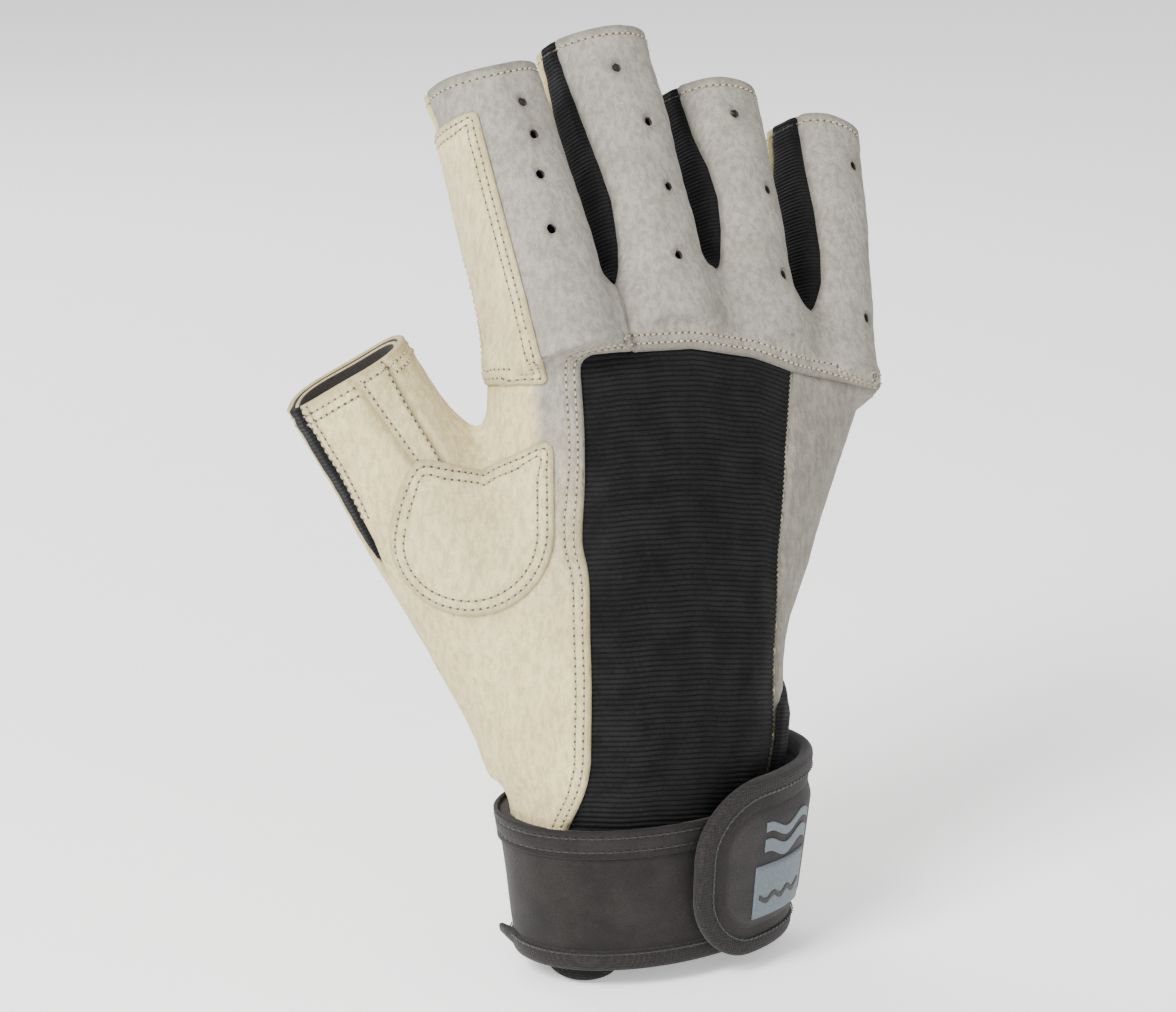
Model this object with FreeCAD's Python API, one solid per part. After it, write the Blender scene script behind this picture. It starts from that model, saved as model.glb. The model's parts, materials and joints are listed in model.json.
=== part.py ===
"""A right-hand short-finger sailing glove, worn shape, in millimetres.

The glove is sewn from thin panels: a synthetic-suede palm that wraps round the thumb side, a ribbed stretch
back panel, a suede knuckle yoke, five cut-off finger sleeves with ribbed side gussets and turned hems, suede
reinforcement patches, and a neoprene cuff closed by a hook-and-loop strap.

Frame: the origin is the centre of the wrist opening. +Z runs up the cuff's axis to the fingertips, -X is the
thumb side, +X the little-finger side, -Y the back of the hand and +Y the palm.

Each finger sleeve, the thumb sleeve and the strap is a body of its own that turns on a hinge line. A hinge
line lies on the side that the sleeve folds towards, so a sleeve opens away from its neighbour as it bends.
"""

import FreeCAD
import Part
import math
import os

from FreeCAD import Matrix, Placement, Rotation, Vector

# ---- fabric thicknesses and clearances ------------------------------------------------------------
SUEDE = 1.2            # palm, yoke, patches and finger panels
RIB = 1.2              # ribbed stretch fabric
NEOPRENE = 2.5         # cuff band
HEM = 1.7              # turned hem, two folded layers
SEWN_GAP = 0.05        # between two layers of one body
MOVING_GAP = 0.4       # between layers of different bodies
SECTION_POINTS = 20    # points that a rounded section is drawn through
FAR = 200.0            # reaches past the glove from any place in it

# ---- cuff -------------------------------------------------------------------------------------------
CUFF_HEIGHT = 28.5
CUFF_ROUNDNESS = 2.1
CUFF_BOTTOM_HALF = (27.6, 19.5)    # half width, half depth
CUFF_TOP_HALF = (31.8, 22.0)
CUFF_LAP = 6.0                     # how far the hand panels reach down inside the cuff
CUFF_BINDING_HEIGHT = 4.0
CUFF_BINDING = 0.9                 # thickness of the edge tape on each side of the cuff
CUFF_TAPE_HEIGHT = 7.0             # stitched fold along the cuff's upper edge
CUFF_TAPE = 0.8

# ---- wrist bend: the hand leans from the cuff's axis towards the palm and the little finger ----------
WRIST_BEND = 13.0                  # degrees
WRIST_BEND_AZIMUTH = 52.0          # direction of the lean in the XY plane, from +X towards +Y
WRIST_PIVOT_Z = 37.0               # height of the bend in the cuff's frame
WRIST_PIVOT_HAND = Vector(-3.5, 0.0, 40.0)   # the same point in the hand's frame

# ---- hand sections in the hand's frame: height, centre x, centre y, half width, half depth, roundness --
HAND_SECTIONS = [
    (45.0, -4.1, 0.0, 30.1, 21.5, 2.3),
    (62.0, -3.9, 0.0, 30.7, 21.0, 2.3),
    (80.0, -0.6, 0.0, 36.2, 19.5, 2.3),
    (95.0, 2.3, 0.0, 39.8, 18.5, 2.3),
    (110.0, 5.6, 0.0, 43.8, 17.5, 2.35),
    (122.0, 7.6, 0.2, 45.8, 16.2, 2.5),
    (131.0, 8.3, 0.8, 46.8, 14.8, 2.8),
    (142.0, 9.0, 2.2, 47.6, 13.6, 3.0),
]

# ---- seams of the back of the hand, in the hand's frame ----------------------------------------------
BACK_LEFT_X = -28.0                # seam between the thumb-side wrap and the ribbed back panel
BACK_RIGHT_X = (16.5, 17.5, 22.0)  # seam to the little-finger side panel: at the cuff, mid-hand and the yoke
BACK_MIDDLE_Z = 76.0
YOKE_LEFT_Z = 118.0                # lower edge of the knuckle yoke, at four places
YOKE_MID_Z = 121.0
YOKE_RIGHT_Z = 116.5
YOKE_END_Z = 112.0
YOKE_SEAM_X = -17.0                # short seam from the first finger crotch to the back panel
SIDE_SEAM_Y = 0.0                  # little-finger side seam

# ---- fingers: x and height of the axis at the knuckle, half width and depth there and at the tip, length,
# ---- bend towards the palm at rest, lean towards the little finger, vent holes as (height, angle) -----
FINGERS = {
    "index": dict(x=-28.5, z=130.0, base=(11.0, 13.5), tip=(10.6, 10.8), length=44.0, bend=16.0, lean=-8.0,
                  holes=((9.7, -12.5), (20.8, -7.0), (29.0, 0.5), (35.9, 0.0))),
    "middle": dict(x=-4.5, z=135.0, base=(11.5, 13.5), tip=(10.4, 10.6), length=48.0, bend=18.0, lean=-1.0,
                   holes=((-1.0, 0.0), (13.5, 7.0), (27.4, 2.5), (39.3, -17.0))),
    "ring": dict(x=19.0, z=132.0, base=(11.1, 13.0), tip=(9.6, 10.0), length=42.0, bend=18.0, lean=5.0,
                 holes=((0.6, 17.0), (18.0, 15.0), (34.4, -8.0))),
    "little": dict(x=41.6, z=125.0, base=(10.3, 12.0), tip=(8.8, 9.0), length=44.0, bend=17.0, lean=13.0,
                   holes=((0.3, 18.0), (16.6, 32.0), (33.9, 14.5))),
}
FINGER_START = 2.0                 # the palm side of a sleeve starts this far along its axis
FINGER_LIFT = 6.0                  # degrees that a sleeve can straighten from its rest bend
FINGER_WEBS = (-16.6, 7.3, 30.4)   # x of the crotches between the four fingers
FINGER_ROUNDNESS = 2.25
BACK_SEAM_SHARE = 0.66             # a finger's back seams lie at this share of its half depth
PALM_SEAM_SHARE = 0.42
HEM_HEIGHT = 5.0
VENT_RADIUS = 1.0
WEB_HEIGHT = 9.0                   # of the ribbed web between two fingers
WEB_HALF_WIDTH = 5.0

# ---- index reinforcement patch ------------------------------------------------------------------------
PATCH = 1.2
PATCH_TOP_SPACE = 8.0              # from the end of the index sleeve down to the patch
PATCH_BACK_Y = -8.5                # edge of the patch on the back of the finger
PATCH_PALM_Y = 5.0
SIDE_PATCH_LOW_Z = 113.0           # lower end of the patch on the hand

# ---- thumb: axis from its root to its tip in the hand's frame -----------------------------------------
THUMB_ROOT = Vector(-23.6, 8.0, 55.0)
THUMB_TIP = Vector(-61.0, 20.0, 114.4)
THUMB_PAD_TOWARDS = Vector(0.75, 0.65, 0.0)     # the way the pad of the thumb faces
THUMB_HALF_ROOT = (16.0, 16.0)
THUMB_HALF_TIP = (13.1, 13.1)
THUMB_ROUNDNESS = 2.1
THUMB_SLEEVE = 26.5                # length of the moving sleeve
THUMB_SPREAD = 6.0                 # degrees that the sleeve can turn outwards
THUMB_ROOT_START = -6.0            # the root tube starts this far below THUMB_ROOT, inside the hand
THUMB_STRIP_ANGLE = 212.0          # of the ribbed strip round the thumb, from its X axis
THUMB_STRIP_HALF_WIDTH = 3.0
THUMB_SIDE_ANGLE = 302.0           # of the suede insert on the side of the index finger
THUMB_SIDE_HALF_WIDTH = 3.2

# ---- patches on the hand --------------------------------------------------------------------------------
WEB_PATCH_Z = (67.7, 112.3)
WEB_PATCH_BACK_Y = -9.5
WEB_PATCH_PALM_X = -20.0
PALM_PATCH_X = (-16.0, 38.0)
PALM_PATCH_Z = (52.0, 116.0)
PALM_PATCH_CORNER = 12.0
WRIST_GUSSET_Z = (30.0, 48.0)      # ribbed elastic insert at the little-finger side of the wrist
WRIST_GUSSET = 1.6
WRIST_GUSSET_Y = (-9.0, 9.0)

# ---- strap: measured round the cuff from its hinge line ---------------------------------------------------
STRAP_HINGE_ANGLE = 8.0            # of the hinge line round the cuff, from +X towards the palm
STRAP_END_X = -5.5                 # x of the strap's rounded end
STRAP_HEIGHT = 37.0
STRAP_LOW_Z = -1.0
STRAP_CORNER = 15.0                # radius of the rounded end's corners
STRAP_EDGE = 4.0                   # width of the edge tape
STRAP_PAD_INSET = 7.0
BADGE_INSET_X = 8.5
BADGE_HALF_HEIGHT = 9.5
BADGE_LENGTH = 20.0
LOOP_PATCH = 0.8
HOOK_PATCH = 0.8
STRAP = 2.0
STRAP_PAD = 0.9
BADGE = 0.3
STRAP_BINDING_PROUD = 0.4          # the edge tape stands out this much over and under the strap
STRAP_ANCHOR_GAP = 5.0             # round the cuff, between the sewn anchor and the hinge line
STRAP_ANCHOR_LENGTH = 22.0
STRAP_ANCHOR_HEIGHT = 24.0

# ---- pull tab ---------------------------------------------------------------------------------------------
TAB_WIDTH = 15.0
TAB_DROP = 4.0
TAB_RISE = 9.0
TAB_THICKNESS = 1.4
TAB_ANGLE = 207.0                  # place round the cuff, from +X towards the palm


def rounded(half, roundness):
    """The points of a rounded-oval section in its own XY plane."""
    points = []
    for k in range(SECTION_POINTS):
        a = 2 * math.pi * k / SECTION_POINTS
        c, s = math.cos(a), math.sin(a)
        points.append(Vector(
            math.copysign(abs(c) ** (2 / roundness), c) * half[0],
            math.copysign(abs(s) ** (2 / roundness), s) * half[1],
            0,
        ))
    return points


def section(half, roundness, centre, placement=None):
    """A closed section wire at a centre, carried by a placement."""
    points = [p + centre for p in rounded(half, roundness)]
    if placement is not None:
        points = [placement.multVec(p) for p in points]
    curve = Part.BSplineCurve()
    curve.interpolate(Points=points, PeriodicFlag=True)
    return Part.Wire([curve.toShape()])


def block(x, y, z, placement=None):
    """A box from three (low, high) ranges, carried by a placement."""
    shape = Part.makeBox(x[1] - x[0], y[1] - y[0], z[1] - z[0], Vector(x[0], y[0], z[0]))
    if placement is not None:
        shape.Placement = placement
    return shape


def prism_y(outline, y, placement=None):
    """A solid from an outline of (x, z) points, extruded along Y from y[0] to y[1]."""
    wire = Part.makePolygon([Vector(x, y[0], z) for x, z in outline + outline[:1]])
    solid = Part.Face(wire).extrude(Vector(0, y[1] - y[0], 0))
    if placement is not None:
        solid.Placement = placement
    return solid


def frame(origin, x_axis, y_axis, z_axis):
    """The placement whose axes are three unit vectors."""
    return Placement(Matrix(
        x_axis.x, y_axis.x, z_axis.x, origin.x,
        x_axis.y, y_axis.y, z_axis.y, origin.y,
        x_axis.z, y_axis.z, z_axis.z, origin.z,
        0, 0, 0, 1,
    ))


def hand_frame():
    """The placement of the hand's frame in the cuff's frame."""
    azimuth = math.radians(WRIST_BEND_AZIMUTH)
    axis = Vector(-math.sin(azimuth), math.cos(azimuth), 0)
    turn = Rotation(axis, WRIST_BEND)
    return Placement(Vector(0, 0, WRIST_PIVOT_Z) - turn.multVec(WRIST_PIVOT_HAND), turn)


HAND = hand_frame()


def cuff_half(z, offset):
    """Half width and half depth of the cuff's outer face at a height, grown by an offset."""
    t = z / CUFF_HEIGHT
    return tuple(b + (a - b) * t + offset for a, b in zip(CUFF_TOP_HALF, CUFF_BOTTOM_HALF))


def cuff_solid(offset, low=0.0, high=CUFF_HEIGHT):
    """The space inside the cuff's outer face, grown by an offset, between two heights."""
    wires = [section(cuff_half(z, offset), CUFF_ROUNDNESS, Vector(0, 0, z)) for z in (low, high)]
    return Part.makeLoft(wires, True, True)


def cuff_layer(inner, outer, low=0.0, high=CUFF_HEIGHT):
    """A layer round the cuff between two offsets from its outer face."""
    return cuff_solid(outer, low, high).cut(cuff_solid(inner, low - 1, high + 1))


def hand_solid(offset):
    """The space inside the hand's outer face, grown by an offset: a loft from inside the cuff up past the knuckles."""
    tuck = -NEOPRENE - SEWN_GAP + offset
    wires = [
        section(cuff_half(z, tuck), CUFF_ROUNDNESS, Vector(0, 0, z))
        for z in (CUFF_HEIGHT - CUFF_LAP, CUFF_HEIGHT)
    ]
    for z, x, y, half_width, half_depth, roundness in HAND_SECTIONS:
        half = (half_width + offset, half_depth + offset)
        wires.append(section(half, roundness, Vector(x, y, z), HAND))
    return Part.makeLoft(wires, True, False)


def hand_layer(inner, outer):
    """A layer over the hand between two offsets from its outer face."""
    return hand_solid(outer).cut(hand_solid(inner))


def finger_axes(finger):
    """A finger's directions in the hand's frame: across it, straight up, palm-ward and along it."""
    bend, lean = math.radians(finger["bend"]), math.radians(finger["lean"])
    across = Vector(math.cos(lean), 0, -math.sin(lean))
    straight = Vector(math.sin(lean), 0, math.cos(lean))
    palm = Vector(0, 1, 0)
    along = straight * math.cos(bend) + palm * math.sin(bend)
    inward = palm * math.cos(bend) - straight * math.sin(bend)
    return across, straight, inward, along


def finger_half(finger, z, offset=0.0):
    """Half width and half depth of a finger at a height along it, grown by an offset."""
    t = z / finger["length"]
    return tuple(b + (a - b) * t + offset for a, b in zip(finger["tip"], finger["base"]))


def finger_hinge(finger):
    """A point on a finger's hinge line, in the finger's frame: on its palm side where the sleeve starts."""
    return Vector(0, finger_half(finger, FINGER_START)[1] + MOVING_GAP, FINGER_START)


def finger_line_z(finger, x):
    """Height of a finger's base line at an x in the hand's frame. The line crosses its hinge line."""
    _, _, inward, along = finger_axes(finger)
    local = finger_hinge(finger)
    hinge = Vector(finger["x"], 0, finger["z"]) + inward * local.y + along * local.z
    return hinge.z - (x - hinge.x) * math.tan(math.radians(finger["lean"]))


def above_fingers():
    """Everything above the base lines of the four fingers, as one stepped prism in the hand's frame."""
    edges = (-FAR / 2,) + FINGER_WEBS + (FAR / 2,)
    outline = []
    for finger, low, high in zip(FINGERS.values(), edges[:-1], edges[1:]):
        outline += [(x, finger_line_z(finger, x) - MOVING_GAP / 2) for x in (low, high)]
    outline += [(FAR / 2, FAR), (-FAR / 2, FAR)]
    return prism_y(outline, (-FAR / 2, FAR / 2), HAND)


def finger_frame(finger):
    """A finger's frame: X across it to the little-finger side, Y to its palm side, Z along it."""
    across, _, inward, along = finger_axes(finger)
    return HAND.multiply(frame(Vector(finger["x"], 0, finger["z"]), across, inward, along))


def below_finger(finger):
    """What lies below a sleeve's lower edge, in the finger's frame. The edge leaves room to straighten."""
    tilt = finger["bend"] - FINGER_LIFT
    below = block((-FAR, FAR), (-FAR, FAR / 10), (-FAR, MOVING_GAP / 2))
    below.Placement = Placement(finger_hinge(finger), Rotation(Vector(1, 0, 0), tilt))
    return below


def finger_solid(finger, offset, low, high):
    """The space inside a finger sleeve's outer face, grown by an offset, between two heights."""
    wires = [section(finger_half(finger, z, offset), FINGER_ROUNDNESS, Vector(0, 0, z)) for z in (low, high)]
    return Part.makeLoft(wires, True, True)


def tube(solid, low, high, inner, outer):
    """A tube between two offsets of a tapered solid, which is a function of offset, low and high."""
    return solid(outer, low, high).cut(solid(inner, low - 1, high + 1))


def sides(back_seam, palm_seam, reach):
    """Cutters round a sleeve: palm, thumb side and little-finger side, meeting at the seams."""
    along = (-reach, FAR)
    return dict(
        palm=block((-reach, reach), (palm_seam, reach), along),
        thumb_side=block((-reach, 0), (-back_seam, palm_seam), along),
        little_side=block((0, reach), (-back_seam, palm_seam), along),
    )


def make_finger(name, finger, parts):
    """A finger's panels, gussets and hem, with vent holes through its back panel."""
    place = finger_frame(finger)
    length = finger["length"]
    depth = finger["base"][1]
    cutters = sides(BACK_SEAM_SHARE * depth, PALM_SEAM_SHARE * depth, 40.0)

    def solid(offset, low, high):
        return finger_solid(finger, offset, low, high)

    top = length - HEM_HEIGHT
    low = -depth
    below = below_finger(finger)
    sleeve = tube(solid, low, top, -SUEDE, 0).cut(below)
    back = sleeve.cut(cutters["palm"])
    pieces = {"palm": sleeve.common(cutters["palm"])}
    for side, outer_finger in (("thumb_side", "index"), ("little_side", "little")):
        if name != outer_finger:
            pieces[side + "_gusset"] = sleeve.common(cutters[side])
            back = back.cut(cutters[side])
    for height, angle in finger["holes"]:
        a = math.radians(angle)
        outward = Vector(math.sin(a), -math.cos(a), 0)
        back = back.cut(Part.makeCylinder(VENT_RADIUS, 2 * finger["base"][1], Vector(0, 0, height), outward))
    pieces["back"] = back
    pieces["hem"] = tube(solid, top, length, -HEM, 0)
    if name == "index":
        layer = tube(solid, low, length - PATCH_TOP_SPACE, SEWN_GAP, PATCH).cut(below)
        pieces["patch"] = layer.common(block((-30, 0), (PATCH_BACK_Y, PATCH_PALM_Y), (-30, FAR)))
    for piece, shape in pieces.items():
        shape.Placement = place
        parts[f"{name}_{piece}"] = shape


def thumb_frame():
    """The thumb's frame at the base of its sleeve: X to the index side, Y to the pad, Z along it."""
    along = (THUMB_TIP - THUMB_ROOT).normalize()
    pad = THUMB_PAD_TOWARDS - along * THUMB_PAD_TOWARDS.dot(along)
    pad.normalize()
    across = pad.cross(along)
    origin = THUMB_TIP - along * THUMB_SLEEVE
    return HAND.multiply(frame(origin, across, pad, along))


def thumb_solid(offset, low, high):
    """The space inside the thumb's outer face, grown by an offset, between two heights in the thumb's frame."""
    full = THUMB_TIP.distanceToPoint(THUMB_ROOT)
    wires = []
    for z in (low, high):
        t = (z + full - THUMB_SLEEVE) / full
        half = tuple(b + (a - b) * t + offset for a, b in zip(THUMB_HALF_TIP, THUMB_HALF_ROOT))
        wires.append(section(half, THUMB_ROUNDNESS, Vector(0, 0, z)))
    return Part.makeLoft(wires, True, True)


def make_thumb(parts):
    """The thumb's moving sleeve: back, palm, ribbed strip, suede side insert and hem."""
    place = thumb_frame()
    top = THUMB_SLEEVE - HEM_HEIGHT
    along = (-THUMB_SLEEVE, FAR)
    strip = block((0, FAR), (-THUMB_STRIP_HALF_WIDTH, THUMB_STRIP_HALF_WIDTH), along)
    strip.rotate(Vector(0, 0, 0), Vector(0, 0, 1), THUMB_STRIP_ANGLE)
    side = block((0, FAR), (-THUMB_SIDE_HALF_WIDTH, THUMB_SIDE_HALF_WIDTH), along)
    side.rotate(Vector(0, 0, 0), Vector(0, 0, 1), THUMB_SIDE_ANGLE)
    between = prism_sector(THUMB_STRIP_ANGLE, THUMB_SIDE_ANGLE, along)
    sleeve = tube(thumb_solid, MOVING_GAP / 2, top, -SUEDE, 0)
    pieces = {
        "back": sleeve.common(between).cut(strip.fuse(side)),
        "palm": sleeve.cut(between).cut(strip.fuse(side)),
        "strip": sleeve.common(strip),
        "side_insert": sleeve.common(side),
        "hem": tube(thumb_solid, top, THUMB_SLEEVE, -HEM, 0),
    }
    for piece, shape in pieces.items():
        shape.Placement = place
        parts[f"thumb_{piece}"] = shape


def prism_sector(start, end, z):
    """A wedge about the Z axis between two angles in degrees, less than 180 apart."""
    corners = [Vector(0, 0, z[0])]
    for angle in (start, end):
        a = math.radians(angle)
        corners.append(Vector(FAR * math.cos(a), FAR * math.sin(a), z[0]))
    return Part.Face(Part.makePolygon(corners + corners[:1])).extrude(Vector(0, 0, z[1] - z[0]))


def thumb_base_top():
    """Everything beyond the thumb base's upper end, which slopes to leave room for the sleeve to turn out."""
    hinge_y = THUMB_HALF_ROOT[1] + MOVING_GAP
    turned = Placement(Vector(0, hinge_y, 0), Rotation(Vector(1, 0, 0), THUMB_SPREAD + 1.0))
    beyond = block((-FAR, FAR), (-FAR, FAR / 10), (-MOVING_GAP / 2, FAR))
    beyond.Placement = thumb_frame().multiply(turned)
    return beyond


def make_hand(parts):
    """The panels of the hand, split along their seams, and the fixed base of the thumb."""
    shell = hand_layer(-SUEDE, 0).cut(above_fingers())
    root_length = THUMB_TIP.distanceToPoint(THUMB_ROOT) - THUMB_SLEEVE - THUMB_ROOT_START
    place = thumb_frame()
    bore = thumb_solid(-SUEDE, -root_length, THUMB_SLEEVE)
    bore.Placement = place

    right_low, right_mid, right_top = BACK_RIGHT_X
    right_side = [(right_top, YOKE_RIGHT_Z), (right_mid, BACK_MIDDLE_Z), (right_low, 0.0)]
    back_sides = [(BACK_LEFT_X, 0.0), (BACK_LEFT_X, YOKE_LEFT_Z), (-2.0, YOKE_MID_Z)] + right_side
    back_cut = prism_y(back_sides, (-FAR, SIDE_SEAM_Y), HAND)
    yoke_left = YOKE_LEFT_Z + (YOKE_MID_Z - YOKE_LEFT_Z) * (YOKE_SEAM_X - BACK_LEFT_X) / (-2.0 - BACK_LEFT_X)
    yoke_low = [(YOKE_SEAM_X, yoke_left), (-2.0, YOKE_MID_Z), (right_top, YOKE_RIGHT_Z), (FAR / 3, YOKE_END_Z),
                (FAR / 3, FAR), (YOKE_SEAM_X, FAR)]
    yoke_cut = prism_y(yoke_low, (-FAR, SIDE_SEAM_Y), HAND)
    side_outline = right_side[::-1] + [(FAR / 3, YOKE_END_Z), (FAR / 3, 0.0)]
    side_cut = prism_y(side_outline, (-FAR, SIDE_SEAM_Y), HAND)

    parts["back_panel"] = shell.common(back_cut)
    parts["knuckle_yoke"] = shell.common(yoke_cut)
    parts["little_side_panel"] = shell.common(side_cut)
    parts["palm_panel"] = shell.cut(back_cut.fuse([yoke_cut, side_cut])).cut(bore)

    base = tube(thumb_solid, -root_length, THUMB_SLEEVE, -SUEDE, 0)
    base.Placement = place
    parts["thumb_base"] = largest(base.cut(thumb_base_top()).cut(hand_solid(SEWN_GAP)))


def make_webs(parts):
    """The ribbed webs between neighbouring fingers, which close the hand between the finger bores."""
    inside = hand_solid(-SUEDE - SEWN_GAP).cut(above_fingers())
    fingers = list(FINGERS.items())
    for x, (name, finger), (next_name, next_finger) in zip(FINGER_WEBS, fingers[:-1], fingers[1:]):
        low = min(finger_line_z(finger, x), finger_line_z(next_finger, x)) - WEB_HEIGHT
        web = inside.common(block((x - WEB_HALF_WIDTH, x + WEB_HALF_WIDTH), (-FAR, FAR), (low, FAR), HAND))
        for neighbour in (finger, next_finger):
            bore = finger_solid(neighbour, -SUEDE, -3 * WEB_HEIGHT, WEB_HEIGHT)
            bore.Placement = finger_frame(neighbour)
            web = web.cut(bore)
        parts[f"web_{name}_{next_name}"] = largest(web)


def largest(shape):
    """The biggest solid of a shape, which leaves out slivers cut off from it."""
    return max(shape.Solids, key=lambda s: s.Volume)


def make_hand_patches(parts):
    """Second layers on the hand: thumb crotch, palm, the index patch's lower end, and the wrist insert."""
    thumb = thumb_solid(SEWN_GAP, -60.0, THUMB_SLEEVE)
    thumb.Placement = thumb_frame()
    layer = hand_layer(SEWN_GAP, PATCH)
    region = block((-FAR / 2, WEB_PATCH_PALM_X), (WEB_PATCH_BACK_Y, FAR), WEB_PATCH_Z, HAND)
    parts["thumb_web_patch"] = largest(layer.common(region).cut(thumb))

    x, z, c = PALM_PATCH_X, PALM_PATCH_Z, PALM_PATCH_CORNER
    outline = [(x[0] + c, z[0]), (x[1] - c, z[0]), (x[1], z[0] + c), (x[1], z[1] - c),
               (x[1] - c, z[1]), (x[0] + c, z[1]), (x[0], z[1] - c), (x[0], z[0] + c)]
    parts["palm_patch"] = largest(layer.common(prism_y(outline, (0, FAR), HAND)).cut(thumb))

    index = FINGERS["index"]
    side = block((-FAR / 2, index["x"]), (WEB_PATCH_BACK_Y, PATCH_PALM_Y), (SIDE_PATCH_LOW_Z, FAR), HAND)
    parts["knuckle_side_patch"] = largest(layer.common(side).cut(above_fingers()))

    insert = hand_layer(SEWN_GAP, WRIST_GUSSET)
    region = block((0, FAR), WRIST_GUSSET_Y, WRIST_GUSSET_Z, HAND)
    above_cuff = block((-FAR, FAR), (-FAR, FAR), (CUFF_HEIGHT + SEWN_GAP, FAR))
    parts["wrist_gusset"] = largest(insert.common(region).common(above_cuff))


def make_cuff(parts):
    """The neoprene band with its edge tape, stitched top fold, loop patch and pull tab."""
    low = CUFF_BINDING_HEIGHT
    high = CUFF_HEIGHT - CUFF_TAPE_HEIGHT
    held = cuff_layer(CUFF_BINDING - NEOPRENE, -CUFF_BINDING, CUFF_BINDING, low + 1)
    parts["cuff_binding"] = cuff_layer(-NEOPRENE, 0, 0, low).cut(held)
    parts["cuff_band"] = cuff_layer(-NEOPRENE, 0).cut(parts["cuff_binding"])
    tape = cuff_layer(SEWN_GAP, CUFF_TAPE, high, CUFF_HEIGHT)
    swing = strap_space()
    swing.rotate(Vector(0, 0, 0), Vector(0, 0, 1), math.degrees(STRAP_ANCHOR_GAP / strap_hinge()[0].Length) + 2.0)
    parts["cuff_top_tape"] = tape.cut([strap_space(), swing])

    outline = strap_outline(STRAP_PAD_INSET)
    loop = cuff_layer(SEWN_GAP, LOOP_PATCH, 0, CUFF_HEIGHT)
    keep = prism_y(outline, (-FAR, FAR)).common(strap_side())
    band = block((-FAR, FAR), (-FAR, FAR), (CUFF_BINDING_HEIGHT, high - SEWN_GAP))
    parts["loop_patch"] = largest(loop.common(keep).common(band))

    a = math.radians(TAB_ANGLE)
    half = cuff_half(0, -NEOPRENE)
    place = Vector(half[0] * math.cos(a), half[1] * math.sin(a), 0)
    normal = Vector(math.cos(a) / half[0], math.sin(a) / half[1], 0).normalize()
    tab = tab_prism()
    tab.Placement = frame(place, normal.cross(Vector(0, 0, 1)), normal, Vector(0, 0, 1))
    inner = -NEOPRENE - SEWN_GAP - TAB_THICKNESS
    layer = cuff_layer(inner, -NEOPRENE - SEWN_GAP, -TAB_DROP - 1, TAB_RISE + 1)
    parts["pull_tab"] = largest(layer.common(tab))


def tab_prism():
    """The pull tab's outline, a strip with a round lower end, extruded along Y in its own frame."""
    r = TAB_WIDTH / 2
    steps = 12
    outline = [(r, TAB_RISE), (-r, TAB_RISE)]
    for k in range(steps + 1):
        a = math.pi * k / steps
        outline.append((-r * math.cos(a), -TAB_DROP * math.sin(a)))
    return prism_y(outline, (-TAB_WIDTH / 2, TAB_WIDTH / 2))


def strap_hinge():
    """The strap's hinge line: a point on the cuff's outer face, and the outward normal there."""
    a = math.radians(STRAP_HINGE_ANGLE)
    half = cuff_half(CUFF_HEIGHT / 2, 0)
    point = Vector(half[0] * math.cos(a), half[1] * math.sin(a), CUFF_HEIGHT / 2)
    normal = Vector(math.cos(a) / half[0], math.sin(a) / half[1], 0).normalize()
    return point, normal


def strap_side():
    """The space on the strap's side of its hinge line: towards the back of the hand."""
    point, normal = strap_hinge()
    side = block((-FAR, FAR), (-FAR, 0), (-FAR, FAR))
    side.Placement = Placement(Vector(0, 0, 0), Rotation(Vector(0, 0, 1), math.degrees(math.atan2(point.y, point.x))))
    return side


def strap_outline(inset):
    """The strap's outline in the XZ plane as (x, z) points, moved in from its edge. Its end is rounded by arcs."""
    low, high = STRAP_LOW_Z + inset, STRAP_LOW_Z + STRAP_HEIGHT - inset
    end, corner = STRAP_END_X + inset, max(STRAP_CORNER - inset, 1.0)
    steps = 8
    points = [(FAR / 2, low)]
    for k in range(steps + 1):
        a = math.pi / 2 * (1 + k / steps)
        points.append((end + corner + corner * math.cos(a), low + corner - corner * math.sin(a)))
    for k in range(steps + 1):
        a = math.pi / 2 * k / steps
        points.append((end + corner - corner * math.cos(a), high - corner + corner * math.sin(a)))
    points.append((FAR / 2, high))
    return points


def strap_space():
    """The room that the strap needs over the cuff."""
    return prism_y(strap_outline(-1.0), (-FAR, FAR)).common(strap_side())


def strap_layer(inner, outer, inset):
    """A layer of the strap between two offsets from the cuff, inside the strap's outline moved in by an inset."""
    low, high = STRAP_LOW_Z - 1, STRAP_LOW_Z + STRAP_HEIGHT + 1
    layer = cuff_layer(inner, outer, low, high)
    return layer.common(prism_y(strap_outline(inset), (-FAR, FAR))).common(strap_side())


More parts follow.
